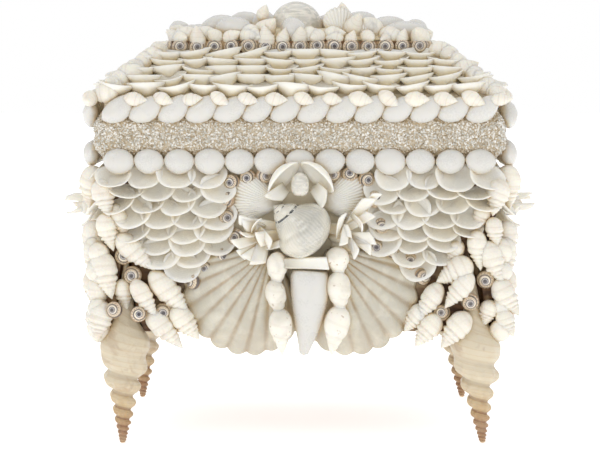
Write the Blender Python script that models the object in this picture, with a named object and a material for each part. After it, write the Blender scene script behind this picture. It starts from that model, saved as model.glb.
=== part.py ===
"""A footed shell box: a wooden casket with a lift-off hipped lid, dressed in white sea shells.

Metres, +Z up. The origin is on the table under the middle of the box, and the front faces -Y.
Every side of the wood has a frame of its own, in which x runs right along it, z runs up from
the table and -y runs out of the wood. A shell's own frame has its tip along +z and its outer
side along -y. An angle on a side is in degrees clockwise from straight up.
"""

import math

import bmesh
import bpy
from mathutils import Matrix, Vector

# Wooden box
BOX_WIDTH = 0.296
BOX_DEPTH = 0.186
BOX_HEIGHT = 0.150
BOX_LIFT = 0.087
WALL = 0.007
FLOOR = 0.007
CORNER_BLOCK = 0.022

# Wooden lid
SEAM = 0.0006
LID_SIDE = 0.0305
LID_RISE = 0.031
LID_RUN = 0.046
LID_WALL = 0.006
CROWN_HEIGHT = 0.009
CROWN_INSET = 0.002
LIP_DEPTH = 0.006
LIP_WALL = 0.005
LIP_CLEARANCE = 0.001

# Gaps that neighbouring pieces keep
GLUE_LINE = 0.0004
JOINT = 0.0004

# Spindle-shell legs: how far they stand in from the box's ends and its front, and their splay
LEG_LENGTH = 0.150
LEG_WIDTH = 0.0378
LEG_FROM_END = 0.014
LEG_FROM_FRONT = 0.001
LEG_SPLAY = 0.03
FOOT_RADIUS = 0.0021
LEG_SIDES = 8

# Rows of smooth oval shells
ROPE_PITCH = 0.0215
ROPE_HEIGHT = 0.0205
ROPE_SLANT = 40
ROPE_DROP = 0.0106
BEAD_PITCH = 0.0225
BEAD_HEIGHT = 0.0195
BEAD_DROP = 0.0188
OVAL_THICKNESS = 0.0135

# Crushed-shell bands on both sides of the seam
GRIT_HEIGHT = 0.0085
GRIT_THICKNESS = 0.0085

# Cup shells laid in courses
CUP_COURSE = 0.0165
CUP_LIFT = 0.0100
CUP_EDGE = 0.0018
CUP_LAP = 0.25
LID_CUP_PITCH = 0.0290
LID_CUP_COURSE = 0.0139
LID_CUP_LIFT = 0.0085

# Button shells
BUTTON = 0.0125
BUTTON_HEIGHT = 0.0085
RIM_BUTTON = 0.0134
RIM_BUTTON_HEIGHT = 0.0045

# Fan shells
SCALLOP_LENGTH = 0.087
SCALLOP_HEIGHT = 0.0130
SCALLOP_SPREAD = 56
SCALLOP_RIBS = 11
PLAIN_RIBS = 7
RIB_HEIGHT = 0.0010
FAN_HINGE = 0.06
FAN_SHARE = 0.985
FAN_STANDOFF = 0.0006
ARK_LENGTH = 0.042
ARK_HEIGHT = 0.0110
ARK_SPREAD = 46
SMALL_FAN_FOLDS = 6

# The middle ornament
TURBAN_LENGTH = 0.0460
TURBAN_WIDTH = 0.0425
CONE_LENGTH = 0.0640
CONE_WIDTH = 0.0300
COLLAR_LENGTH = 0.0325
COLLAR_WIDTH = 0.0075
COLLAR_BACK = 0.012
COLLAR_REACH = 0.030
PEARL_LENGTH = 0.0190
PEARL_WIDTH = 0.0138
BACK_DROP_LENGTH = 0.058
BACK_DROP_WIDTH = 0.0248
HOOD_LENGTH = 0.030
HOOD_WIDTH = 0.019
HOOD_THICKNESS = 0.009
CONCH_LENGTH = 0.029
CONCH_WIDTH = 0.0155
PETAL_LENGTH = 0.027
PETAL_WIDTH = 0.0105
PETAL_THICKNESS = 0.0025
KNOT = 0.014
SPINDLE_LENGTH = 0.035
SPINDLE_WIDTH = 0.0160
SIDE_KNOT = 0.030

# The heap of shells on the lid
DOME_WIDTH = 0.042
DOME_HEIGHT = 0.022
DOME_LIFT = 0.0095
DOME_PLACE = (-0.003, -0.004)
HEAP_BED = 0.006

# The bed of glue and plaster that the small shells sit in, and how far the shells reach from the wood
BED = 0.0030
SHELL_REACH = 0.042

# Values that follow from the sizes above
HALF_WIDTH = BOX_WIDTH / 2
HALF_DEPTH = BOX_DEPTH / 2
BOX_TOP = BOX_LIFT + BOX_HEIGHT
LID_BASE = BOX_TOP + SEAM
LID_SHOULDER = LID_BASE + LID_SIDE
CROWN_BASE = LID_SHOULDER + LID_RISE
CROWN_TOP = CROWN_BASE + CROWN_HEIGHT
CROWN_HALF_WIDTH = HALF_WIDTH - LID_RUN - CROWN_INSET
CROWN_HALF_DEPTH = HALF_DEPTH - LID_RUN - CROWN_INSET
LEAN_OF_SLOPE = math.atan2(LID_RUN, LID_RISE)
SLOPE_LENGTH = math.hypot(LID_RUN, LID_RISE)

# The layout on the box's sides was drawn for these sizes, and stretches with the box
DRAWN_HALF_WIDTH = 0.148
DRAWN_HALF_DEPTH = 0.093
DRAWN_LIFT = 0.087
DRAWN_HEIGHT = 0.150

# A smooth oval's outline, as shares of half its length and of its radius
EGG_OUTLINE = ((-1.0, 0.0), (-0.5, 0.94), (0.5, 0.94), (1.0, 0.0))

# A turned shell's outline, as (share of its length, share of its greatest radius)
LEG_OUTLINE = (
    (0.065, 0.18), (0.127, 0.295), (0.14, 0.265), (0.20, 0.40), (0.215, 0.37), (0.268, 0.50),
    (0.285, 0.46), (0.34, 0.71), (0.41, 0.78), (0.43, 0.75), (0.503, 1.0), (0.60, 0.63),
    (0.70, 0.36), (1.0, 0.12),
)
LEG_SPACE_OUTLINE = (
    (0.30, 0.85), (0.42, 0.98), (0.503, 1.10), (0.60, 0.72), (0.70, 0.42), (1.0, 0.17),
)
CONCH_OUTLINE = ((0.0, 0.0), (0.38, 0.78), (0.52, 1.0), (1.0, 0.0))
TURBAN_OUTLINE = (
    (0.0, 0.0), (0.115, 0.22), (0.27, 0.55), (0.30, 0.52), (0.52, 0.96), (0.70, 1.0), (0.88, 0.72),
    (1.0, 0.0),
)
CONE_OUTLINE = (
    (0.0, 0.20), (0.10, 0.42), (0.35, 0.76), (0.60, 0.98), (0.80, 1.0), (0.94, 0.80), (1.0, 0.45),
)


def clear_scene():
    for old in list(bpy.data.objects):
        bpy.data.objects.remove(old)


def finish(name, colour, roughness):
    """A plain material for the solids."""
    material = bpy.data.materials.new(name)
    material.use_nodes = True
    shader = material.node_tree.nodes["Principled BSDF"]
    shader.inputs["Base Color"].default_value = (*colour, 1)
    shader.inputs["Roughness"].default_value = roughness
    shader.inputs["Metallic"].default_value = 0
    return material


def make_finishes():
    return {
        "wood": finish("wood", (0.42, 0.27, 0.13), 0.7),
        "white": finish("white", (0.86, 0.85, 0.82), 0.35),
        "cream": finish("cream", (0.80, 0.75, 0.66), 0.45),
        "tan": finish("tan", (0.66, 0.54, 0.42), 0.5),
        "grit": finish("grit", (0.70, 0.67, 0.61), 0.8),
        "pearl": finish("pearl", (0.82, 0.83, 0.80), 0.2),
        "leg": finish("leg", (0.78, 0.68, 0.52), 0.5),
    }


# Shapes, each as (points, faces) of one closed form whose faces point out


def moved(shape, matrix):
    points, faces = shape
    return [matrix @ point for point in points], faces


def turned(outline, sides, flatten=1.0):
    """A form turned about z from (height, radius) pairs. A radius of 0 ends it in a point."""
    points, rings, faces = [], [], []
    for height, radius in outline:
        count = sides if radius > 0 else 1
        rings.append([len(points) + i for i in range(count)])
        for i in range(count):
            angle = math.tau * i / sides
            across, deep = radius * math.cos(angle), radius * math.sin(angle) * flatten
            points.append(Vector((across, deep, height)))
    for low, high in zip(rings, rings[1:]):
        for i in range(sides):
            j = (i + 1) % sides
            corners = [low[i % len(low)], low[j % len(low)], high[j % len(high)], high[i % len(high)]]
            faces.append(tuple(dict.fromkeys(corners)))
    if len(rings[0]) > 1:
        faces.append(tuple(reversed(rings[0])))
    if len(rings[-1]) > 1:
        faces.append(tuple(rings[-1]))
    return points, faces


def shell_of(outline, length, width, sides, flatten=1.0):
    """A turned shell from shares of its length and radius, with its middle at the origin."""
    sized = [((share - 0.5) * length, radius * width / 2) for share, radius in outline]
    return turned(sized, sides, flatten)


def ovoid(length, width, thickness):
    """A smooth egg of a shell, its middle at the origin."""
    sized = [(share * length / 2, radius * width / 2) for share, radius in EGG_OUTLINE]
    return turned(sized, 6, thickness / width)


def conch(length, width):
    """A small spindle shell with a shoulder, its tip up."""
    return shell_of(CONCH_OUTLINE, length, width, 5)


def button(width, height):
    """A low coiled shell seen from its top: a blunt dome that stands out along -y."""
    radius = width / 2
    outline = ((-0.3 * height, radius * 0.9), (0.3 * height, radius), (height, radius * 0.4))
    return moved(turned(outline, 6), Matrix.Rotation(math.pi / 2, 4, "X"))


def closed_sheet(rows):
    """A form from rows of points whose outermost points all lie on its flat back."""
    width = len(rows[0])
    height = len(rows)
    points = [point for row in rows for point in row]
    faces = []
    for i in range(height - 1):
        for j in range(width - 1):
            a = i * width + j
            b, c, d = a + 1, a + width + 1, a + width
            other_way = (i == 0) != (j == 0) and i in (0, height - 2) and j in (0, width - 2)
            faces += [(a, b, d), (b, c, d)] if other_way else [(a, b, c), (a, c, d)]
    rim = list(range(width)) + [i * width + width - 1 for i in range(1, height)]
    rim += [(height - 1) * width + j for j in range(width - 2, -1, -1)]
    rim += [i * width for i in range(height - 2, 0, -1)]
    faces.append(tuple(reversed(rim)))
    return points, faces


def fan(length, height, spread, folds, rib=RIB_HEIGHT, steps=3):
    """A fan shell with its hinge at the origin and its margin up: a ribbed dome on a flat back.

    Folds is the number of ribs and grooves across it.
    """
    spread = math.radians(spread)
    rows = []
    for i in range(steps + 1):
        reach = FAN_HINGE + (1 - FAN_HINGE) * i / steps
        row = []
        for j in range(folds + 1):
            share = FAN_SHARE * (2 * j / folds - 1)
            ridge = rib if j % 2 else -rib
            fall = math.cos(share * math.pi / 2)
            along = reach * (length * fall**0.25 + ridge)
            inside = 0 < i < steps and 0 < j < folds
            rise = height * math.sin(math.pi * reach**0.75) * fall**0.4 + ridge if inside else 0
            angle = share * spread
            row.append(Vector((along * math.sin(angle), -rise, along * math.cos(angle))))
        rows.append(row)
    return closed_sheet(rows)


def petal(length, width, thickness, start, curl=45):
    """A cut piece of shell with a ridge, bent outwards from its root at z = start."""
    curl = math.radians(curl)
    radius = length / curl
    points, faces = [], []
    for i, half in enumerate((0.40 * width, 0.55 * width, 0.35 * width)):
        bend = curl * i / 2
        out, along = radius * (1 - math.cos(bend)), start + radius * math.sin(bend)
        ridge = Vector((0, -thickness * math.cos(bend), -thickness * math.sin(bend)))
        middle = Vector((0, -out, along))
        points += [middle - Vector((half, 0, 0)), middle + Vector((half, 0, 0)), middle + ridge]
    for i in (0, 3):
        for j in range(3):
            k = (j + 1) % 3
            faces += [(i + j, i + k, i + 3 + k), (i + j, i + 3 + k, i + 3 + j)]
    faces += [(2, 1, 0), (6, 7, 8)]
    return points, faces


def slab(outline, back, front):
    """A flat plate from a (x, z) outline, between two depths, drawn on a side of the wood."""
    count = len(outline)
    points = [Vector((x, -front, z)) for x, z in outline] + [Vector((x, -back, z)) for x, z in outline]
    faces = [tuple(range(count)), tuple(reversed(range(count, 2 * count)))]
    for i in range(count):
        j = (i + 1) % count
        faces.append((j, i, count + i, count + j))
    return points, faces


def stack(loops):
    """A closed form from level loops of points, the lowest first, each (x, y) list at a height."""
    points, faces = [], []
    count = len(loops[0][1])
    for height, loop in loops:
        points += [Vector((x, y, height)) for x, y in loop]
    for level in range(len(loops) - 1):
        for i in range(count):
            j = (i + 1) % count
            low, high = level * count, (level + 1) * count
            faces.append((low + i, low + j, high + j, high + i))
    faces.append(tuple(reversed(range(count))))
    faces.append(tuple(range((len(loops) - 1) * count, len(loops) * count)))
    return points, faces


def rectangle(half_width, half_depth):
    w, d = half_width, half_depth
    return [(-w, -d), (w, -d), (w, d), (-w, d)]


def canted(half_width, half_depth, cut):
    """A rectangle whose corners are cut off, as the blocks in the box's corners leave it."""
    w, d = half_width, half_depth
    return [
        (-w + cut, -d), (w - cut, -d), (w, -d + cut), (w, d - cut),
        (w - cut, d), (-w + cut, d), (-w, d - cut), (-w, -d + cut),
    ]


# Objects


def mesh_from(name, shapes):
    """One mesh of several closed forms, each with its faces turned outwards."""
    mesh = bpy.data.meshes.new(name)
    points, faces = [], []
    for shape_points, shape_faces in shapes:
        start = len(points)
        points += shape_points
        faces += [tuple(start + i for i in face) for face in shape_faces]
    mesh.from_pydata(points, [], faces)
    work = bmesh.new()
    work.from_mesh(mesh)
    bmesh.ops.recalc_face_normals(work, faces=work.faces)
    work.to_mesh(mesh)
    work.free()
    return mesh


def grown(shape, by=JOINT):
    """The same form with its faces moved out, to keep other pieces clear of it."""
    mesh = mesh_from("grown", [shape])
    work = bmesh.new()
    work.from_mesh(mesh)
    bpy.data.meshes.remove(mesh)
    points = [vert.co + vert.normal * by * min(vert.calc_shell_factor(), 4) for vert in work.verts]
    work.free()
    return points, shape[1]


def piece(name, shapes, material):
    obj = bpy.data.objects.new(name, mesh_from(name, shapes))
    obj.data.materials.append(material)
    bpy.context.scene.collection.objects.link(obj)
    return obj


def cutter(name, shapes):
    """A helper that other pieces are cut with. It isn't a piece of the box."""
    obj = bpy.data.objects.new(name, mesh_from(name, shapes))
    obj.hide_render = True
    obj.display_type = "WIRE"
    bpy.context.scene.collection.objects.link(obj)
    return obj


def cut(obj, operation, other, solver="EXACT"):
    modifier = obj.modifiers.new(other.name, "BOOLEAN")
    modifier.operation = operation
    modifier.solver = solver
    modifier.object = other


def smooth(obj):
    obj.data.shade_smooth()
    obj.data.set_sharp_from_angle(angle=math.radians(35))


def fused(name, shapes, material, kept_in=(), clear_of=()):
    """One solid from shells that touch, kept inside the first helpers and clear of the others.

    The exact solver loses shells whose faces nearly meet, as these do, so the other one is used.
    """
    obj = piece(name, shapes[:1], material)
    for i, shape in enumerate(shapes[1:], 2):
        cut(obj, "UNION", cutter(f"{name}_shell_{i}", [shape]), "MANIFOLD")
    for other in kept_in:
        cut(obj, "INTERSECT", other, "MANIFOLD")
    for other in clear_of:
        cut(obj, "DIFFERENCE", other, "MANIFOLD")
    smooth(obj)
    return obj


class Side:
    """One side of the wood, with its frame and the helper that keeps its shells on it."""

    def __init__(self, name, ends, turn, half, reach):
        self.name = name
        self.ends = ends
        self.half = half
        self.frame = Matrix.Rotation(turn, 4, "Z") @ Matrix.Translation((0, -reach, 0))
        foot_of_slope = Matrix.Translation((0, 0, LID_SHOULDER))
        self.slope = self.frame @ foot_of_slope @ Matrix.Rotation(-LEAN_OF_SLOPE, 4, "X")
        drawn = DRAWN_HALF_WIDTH if half == HALF_WIDTH else DRAWN_HALF_DEPTH
        self.stretch = half / drawn
        self.bounds = self.space("all", 0, BOX_TOP - BEAD_DROP - BEAD_HEIGHT / 2 - JOINT)

    def space(self, label, low, high):
        """A helper: the space before this side between two heights, mitred at the corners."""
        near, far = self.half + GLUE_LINE - JOINT, self.half + SHELL_REACH - JOINT
        loop = [(-near, -GLUE_LINE), (-far, -SHELL_REACH), (far, -SHELL_REACH), (near, -GLUE_LINE)]
        shape = moved(stack([(low, loop), (high, loop)]), self.frame)
        return cutter(f"{self.name}_space_{label}", [shape])

    def x(self, drawn):
        return drawn * self.stretch

    def z(self, drawn):
        return BOX_LIFT + (drawn - DRAWN_LIFT) * BOX_HEIGHT / DRAWN_HEIGHT

    def at(self, shape, x, z, out=0.0, angle=0.0, lean=0.0):
        """A shell on this side: its place, its turn clockwise from up, and its tip's lean outwards."""
        place = Matrix.Translation((self.x(x), -out, self.z(z)))
        turn = Matrix.Rotation(math.radians(angle), 4, "Y") @ Matrix.Rotation(math.radians(lean), 4, "X")
        return moved(shape, self.frame @ place @ turn)

    def plate(self, outline, back, front):
        """A plate over an outline that was drawn on this side."""
        return moved(slab([(self.x(x), self.z(z)) for x, z in outline], back, front), self.frame)


def make_sides():
    quarter = math.pi / 2
    return {
        "front": Side("front", ("left", "right"), 0, HALF_WIDTH, HALF_DEPTH),
        "right": Side("right", ("front", "back"), quarter, HALF_DEPTH, HALF_WIDTH),
        "back": Side("back", ("right", "left"), 2 * quarter, HALF_WIDTH, HALF_DEPTH),
        "left": Side("left", ("back", "front"), 3 * quarter, HALF_DEPTH, HALF_WIDTH),
    }


# The wood and the legs


def leg_shape(east, north, outline, foot=()):
    """A spindle shell standing on its worn tip. It leans by a shear, so its foot stays level."""
    radius = LEG_WIDTH / 2
    heights = list(foot) + [(share * LEG_LENGTH, size * radius) for share, size in outline]
    points, faces = turned(heights, LEG_SIDES)
    shifted = []
    for point in points:
        out = LEG_SPLAY * (BOX_LIFT - point.z)
        x, y = HALF_WIDTH - LEG_FROM_END + out, HALF_DEPTH - LEG_FROM_FRONT
        shifted.append(point + Vector((east * x, north * y, 0)))
    return shifted, faces


def make_legs(material):
    """The four legs. Each gives a helper that keeps the wood and the shells round it clear."""
    spaces = {}
    for north, end in ((-1, "front"), (1, "back")):
        for east, hand in ((-1, "left"), (1, "right")):
            name = f"leg_{end}_{hand}"
            leg = piece(name, [leg_shape(east, north, LEG_OUTLINE, [(0, FOOT_RADIUS)])], material)
            smooth(leg)
            space = grown(leg_shape(east, north, LEG_SPACE_OUTLINE))
            spaces[end, hand] = cutter("space_for_" + name, [space])
    return spaces


def make_box(material, leg_spaces):
    """A hollow box open at the top, with a block in each corner and a groove for each leg."""
    outer = rectangle(HALF_WIDTH, HALF_DEPTH)
    box = piece("box", [stack([(BOX_LIFT, outer), (BOX_TOP, outer)])], material)
    inside = canted(HALF_WIDTH - WALL, HALF_DEPTH - WALL, CORNER_BLOCK)
    above = BOX_TOP + WALL
    cut(box, "DIFFERENCE", cutter("box_hollow", [stack([(BOX_LIFT + FLOOR, inside), (above, inside)])]))
    for space in leg_spaces.values():
        cut(box, "DIFFERENCE", space)


def make_lid(material):
    """A hollow hipped lid with a crown block on top and a lip that drops into the box."""
    outer = [
        (LID_BASE, rectangle(HALF_WIDTH, HALF_DEPTH)),
        (LID_SHOULDER, rectangle(HALF_WIDTH, HALF_DEPTH)),
        (CROWN_BASE, rectangle(HALF_WIDTH - LID_RUN, HALF_DEPTH - LID_RUN)),
    ]
    lid = piece("lid", [stack(outer)], material)
    crown = rectangle(CROWN_HALF_WIDTH, CROWN_HALF_DEPTH)
    block = [(CROWN_BASE - LID_WALL / 2, crown), (CROWN_TOP, crown)]
    cut(lid, "UNION", cutter("lid_crown", [stack(block)]))
    clear = WALL + LIP_CLEARANCE
    lip = canted(HALF_WIDTH - clear, HALF_DEPTH - clear, CORNER_BLOCK)
    cut(lid, "UNION", cutter("lid_lip", [stack([(LID_BASE - LIP_DEPTH, lip), (LID_BASE + LID_WALL, lip)])]))
    inset = clear + LIP_WALL
    mouth = canted(HALF_WIDTH - inset, HALF_DEPTH - inset, CORNER_BLOCK)
    top = canted(HALF_WIDTH - LID_RUN - inset, HALF_DEPTH - LID_RUN - inset, CORNER_BLOCK / 4)
    inside = [
        (LID_BASE - 2 * LIP_DEPTH, mouth),
        (LID_SHOULDER - LID_WALL / 2, mouth),
        (CROWN_BASE - LID_WALL, top),
    ]
    cut(lid, "DIFFERENCE", cutter("lid_hollow", [stack(inside)]))


# Rows that run round the box and the lid


def places_along(half, pitch):
    """Even places along a row of this half length, as near to the pitch as they come."""
    count = max(2, round(2 * half / pitch))
    step = 2 * half / count
    return step, [-half + (i + 0.5) * step for i in range(count)]


def oval_row(side, name, pitch, z, height, slant, material):
    """Smooth ovals side by side along one side, leaning by a slant from upright."""
    step, places = places_along(side.half, pitch)
    shear = math.tan(math.radians(slant))
    levels = ((-1.0, 0.0), (-0.55, 0.85), (0.55, 0.85), (1.0, 0.0))
    rows = []
    last = 2 * len(places)
    for share, bulge in levels:
        row = []
        for j in range(last + 1):
            inside = 0 < bulge and 0 < j < last
            middle = j % 2
            up = share * height / 2 * (1 if middle else 0.72)
            out = GLUE_LINE + (OVAL_THICKNESS * bulge * (1 if middle else 0.35) if inside else 0)
            x = -side.half + step * j / 2 + (up * shear if 0 < j < last else 0)
            reach = side.half + out - 2 * JOINT
            row.append(Vector((max(-reach, min(reach, x)), -out, z + up)))
        rows.append(row)
    fused(name, [moved(closed_sheet(rows), side.frame)], material)


def make_oval_rows(side, material):
    """The slanted ovals round the side of the lid, and the round ones round the top of the box."""
    rope = (ROPE_PITCH, LID_SHOULDER - ROPE_DROP, ROPE_HEIGHT, ROPE_SLANT)
    oval_row(side, f"lid_{side.name}_ovals", *rope, material)
    beads = (BEAD_PITCH, BOX_TOP - BEAD_DROP, BEAD_HEIGHT, 0)
    oval_row(side, f"box_{side.name}_ovals", *beads, material)


def make_grit(material):
    """The crushed-shell bands: one round the box's mouth and one round the lid's foot."""
    for name, low in (("box_grit_band", BOX_TOP - GRIT_HEIGHT), ("lid_grit_band", LID_BASE)):
        loop = rectangle(HALF_WIDTH + GRIT_THICKNESS, HALF_DEPTH + GRIT_THICKNESS)
        band = piece(name, [stack([(low, loop), (low + GRIT_HEIGHT, loop)])], material)
        hole = rectangle(HALF_WIDTH + GLUE_LINE, HALF_DEPTH + GLUE_LINE)
        inner = stack([(low - WALL, hole), (low + GRIT_HEIGHT + WALL, hole)])
        cut(band, "DIFFERENCE", cutter(name + "_hole", [inner]))


def cup_sheet(length, courses, edges, cups, lift):
    """Cup shells in courses, as one sheet that steps out at each course's scalloped lip.

    The sheet runs up from z = 0. Edges gives the least and the greatest x at a height.
    """
    course = length / courses
    columns = 2 * cups
    rows = []
    for row in range(2 * courses + 1):
        i, lip = divmod(row, 2)
        points = []
        for j in range(columns + 1):
            peak = (j + i) % 2
            inside = 0 < j < columns and 0 < row < 2 * courses
            lap = CUP_LAP * peak if inside and lip and i < courses - 1 else 0
            along = min(length, (i + 0.93 * lip + lap) * course)
            low, high = edges(along)
            out = GLUE_LINE + (CUP_EDGE + lift * lip * (0.45 + 0.55 * peak) if inside else 0)
            points.append(Vector((low + (high - low) * j / columns, -out, along)))
        rows.append(points)
    return closed_sheet(rows)


def make_crown_space():
    """A helper: the space that the button shells round the crown take."""
    reach = RIM_BUTTON_HEIGHT + JOINT
    ring = rectangle(CROWN_HALF_WIDTH + reach, CROWN_HALF_DEPTH + reach)
    return cutter("crown_space", [stack([(CROWN_BASE, ring), (CROWN_TOP + RIM_BUTTON, ring)])])


def make_lid_cups(side, material, crown_space):
    """Courses of cup shells up one slope of the lid, with their lips up."""

    def edges(along):
        half = side.half - LID_RUN * along / SLOPE_LENGTH - JOINT
        return -half, half

    courses = round(SLOPE_LENGTH / LID_CUP_COURSE)
    cups = max(2, round((2 * side.half - LID_RUN) / LID_CUP_PITCH))
    sheet = cup_sheet(SLOPE_LENGTH - JOINT, courses, edges, cups, LID_CUP_LIFT)
    raised = Matrix.Translation((0, 0, JOINT))
    fused(f"lid_{side.name}_cups", [moved(sheet, side.slope @ raised)], material, [], [crown_space])


def make_rim_buttons(material):
    """The ring of button shells that stand out round the lid's crown."""
    low, high = CROWN_BASE + JOINT, CROWN_TOP
    outline = []
    for turn in range(4):
        half, reach = (CROWN_HALF_WIDTH, CROWN_HALF_DEPTH)[:: -1 if turn % 2 else 1]
        frame = Matrix.Rotation(turn * math.pi / 2, 2)
        step, places = places_along(half, RIM_BUTTON)
        for x in places:
            outline.append(frame @ Vector((x - step / 2, -reach - RIM_BUTTON_HEIGHT / 3)))
            outline.append(frame @ Vector((x, -reach - RIM_BUTTON_HEIGHT)))
    ring = piece("lid_buttons", [stack([(low, outline), (high, outline)])], material)
    hole = rectangle(CROWN_HALF_WIDTH + GLUE_LINE, CROWN_HALF_DEPTH + GLUE_LINE)
    inner = stack([(low - WALL, hole), (high + WALL, hole)])
    cut(ring, "DIFFERENCE", cutter("lid_buttons_hole", [inner]))


# The shells heaped on the crown: x, y, height of the middle, length, width, turn from above, lean.
# The fan has no width of its own.
HEAP_OVALS = (
    (-0.061, -0.022, 0.013, 0.030, 0.024, 90, 90), (0.084, -0.018, 0.007, 0.036, 0.022, 80, 90),
    (-0.005, -0.033, 0.0085, 0.019, 0.019, 0, 0), (0.064, 0.022, 0.009, 0.040, 0.026, 75, 90),
    (-0.040, 0.024, 0.010, 0.040, 0.026, 100, 90),
)
HEAP_CONCHES = (
    (-0.028, -0.027, 0.012, 0.034, 0.018, -25, 30), (0.040, -0.028, 0.010, 0.028, 0.016, 15, 25),
    (0.057, -0.024, 0.010, 0.026, 0.018, 10, 35), (-0.085, -0.022, 0.007, 0.028, 0.016, 60, 80),
)
HEAP_FAN = (0.024, -0.024, 0.001, 0.030, 15, 8)


def on_crown(shape, x, y, up, turn, lean):
    """A shell on the crown, leaning from upright by an angle, the way a turn from above gives."""
    across, deep = x * HALF_WIDTH / DRAWN_HALF_WIDTH, y * HALF_DEPTH / DRAWN_HALF_DEPTH
    place = Matrix.Translation((across, deep, CROWN_TOP + up))
    way = Matrix.Rotation(math.radians(turn), 4, "Z") @ Matrix.Rotation(math.radians(lean), 4, "X")
    return moved(shape, place @ way)


def dome_shape():
    """The ribbed pearly dome on top of the heap."""
    outline = [(0, DOME_WIDTH / 2)]
    for share in (0.35, 0.7, 0.9):
        outline.append((share * DOME_HEIGHT, DOME_WIDTH / 2 * math.sqrt(1 - share**2)))
    outline.append((DOME_HEIGHT, 0))
    return on_crown(turned(outline, 12), *DOME_PLACE, DOME_LIFT, 0, 0)


def make_heap(finishes):
    """The heap of mixed shells on top, round the dome, in a low mound of plaster."""
    dome = dome_shape()
    smooth(piece("lid_top_pearl", [dome], finishes["pearl"]))
    mound = []
    for share, up in ((0.97, GLUE_LINE), (0.93, 0.6 * HEAP_BED), (0.62, 1.7 * HEAP_BED)):
        loop = canted(CROWN_HALF_WIDTH * share, CROWN_HALF_DEPTH * share, 1.7 * HEAP_BED)
        mound.append((CROWN_TOP + up, loop))
    shapes = [stack(mound)]
    for x, y, up, length, width, turn, lean in HEAP_OVALS:
        shapes.append(on_crown(ovoid(length, width, width), x, y, up, turn, lean))
    for x, y, up, length, width, turn, lean in HEAP_CONCHES:
        shapes.append(on_crown(conch(length, width), x, y, up, turn, lean))
    x, y, up, length, turn, lean = HEAP_FAN
    shapes.append(on_crown(fan(length, length / 4, ARK_SPREAD, SMALL_FAN_FOLDS), x, y, up, turn, lean))
    loop = rectangle(HALF_WIDTH, HALF_DEPTH)
    above = stack([(CROWN_TOP + GLUE_LINE, loop), (CROWN_TOP + BOX_HEIGHT, loop)])
    clear_of = [cutter("pearl_room", [grown(dome)])]
    fused("lid_heap", shapes, finishes["white"], [cutter("over_crown", [above])], clear_of)


# Shells on the sides of the box. Places are (across, up, out of the wood, angle) as drawn on a side,
# in metres and degrees, for its left half. The right half mirrors them.

FRONT_SWAG = (
    (0.2075, -0.1470, -0.0560), (0.1720, -0.1380, -0.0550), (0.1500, -0.1260, -0.0600),
    (0.1340, -0.1120, -0.0720), (0.1185, -0.0990, -0.0880),
)
SIDE_SWAG = ((0.2075, -0.0920, -0.0280), (0.1650, -0.0800, -0.0330), (0.1450, -0.0640, -0.0480))
FRONT_SPINDLES = (
    (-0.1450, 0.186, 167, 1.00), (-0.1440, 0.150, 162, 1.10), (-0.1480, 0.108, 188, 1.00),
    (-0.1200, 0.138, 136, 1.05), (-0.1080, 0.117, 138, 1.10), (-0.1020, 0.098, 136, 1.15),
)
FRONT_CORNER_BUTTONS = ((-0.1330, 0.132),)
FRONT_CORNER_BED = (
    (-0.1475, 0.2070), (-0.1475, 0.0880), (-0.0930, 0.0880), (-0.0915, 0.1120), (-0.0995, 0.1175),
    (-0.1125, 0.1330), (-0.1265, 0.1490), (-0.1385, 0.1710),
)
BACK_SPINDLES = ((-0.1420, 0.172, 165, 1.3), (-0.1180, 0.126, 140, 1.3), (-0.1040, 0.102, 140, 1.2))
SIDE_SPINDLES = ((-0.0840, 0.155, 168, 1.2), (-0.0640, 0.118, 160, 1.2))
TURBAN_PLACE = (-0.0045, 0.1740, 0.0205, 132)
BAND_PLACE = (0.0040, 0.1420)
CONE_PLACE = (0.0060, 0.1045, 0.0165, 1)
PEARL_PLACE = (0, 0.2015, 0.0210)
HOOD_PLACE = (0.0010, 0.2145, 0.0085)
HOOD_ANGLES = (221, 143)
SCALLOP_PLACE = (-0.0210, 0.1530, 209)
ARK_PLACE = (-0.0120, 0.1850, FAN_STANDOFF, -78)
BOW_PLACES = {"left": (-0.0270, 0.1600, 0.0165), "right": (-0.0310, 0.1610, 0.0165)}
BOW_ANGLES = (198, 236, 274, 312, 350)
BOW_LEAN = 16
BOW_FOOT = 0.1465
BOW_STEM = 0.7
TASSELS = {
    "left": ((-0.0190, 0.1310, 186), (-0.0200, 0.1105, 178), (-0.0180, 0.0890, 181)),
    "right": ((-0.0270, 0.1330, 182), (-0.0290, 0.1120, 183), (-0.0275, 0.0900, 176)),
}
TASSEL_OUT = 0.0225
FLOWER_ANGLES = (11, 83, 155, 227, 299)
BACK_FLOWER_PLACE = (0, 0.1720, 0.0165)
BACK_FLOWER_LEAN = 32
BACK_DROP_PLACE = (0, 0.1400, 0.0165, 180)
SIDE_SCALLOP_PLACE = (0, 0.1600, 180)
SIDE_FLOWER_PLACE = (0, 0.1760, 0.0125)
SIDE_FLOWER_LEAN = 42
SPINDLE_OUT = 0.0065
SPINDLE_LEAN = 4
CORNER_BUTTON_OUT = 0.0055
SIDE_CORNER_BED = (
    (-0.0925, 0.2070), (-0.0925, 0.0880), (-0.0560, 0.0880), (-0.0500, 0.1280), (-0.0665, 0.1440),
    (-0.0820, 0.1640),
)


def between(table, height):
    """The two values at this height in a table of (height, value, value), the highest first."""
    for (high, a, b), (low, c, d) in zip(table, table[1:]):
        if height >= low:
            share = (high - height) / (high - low)
            return a + (c - a) * share, b + (d - b) * share
    return table[-1][1:]


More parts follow.
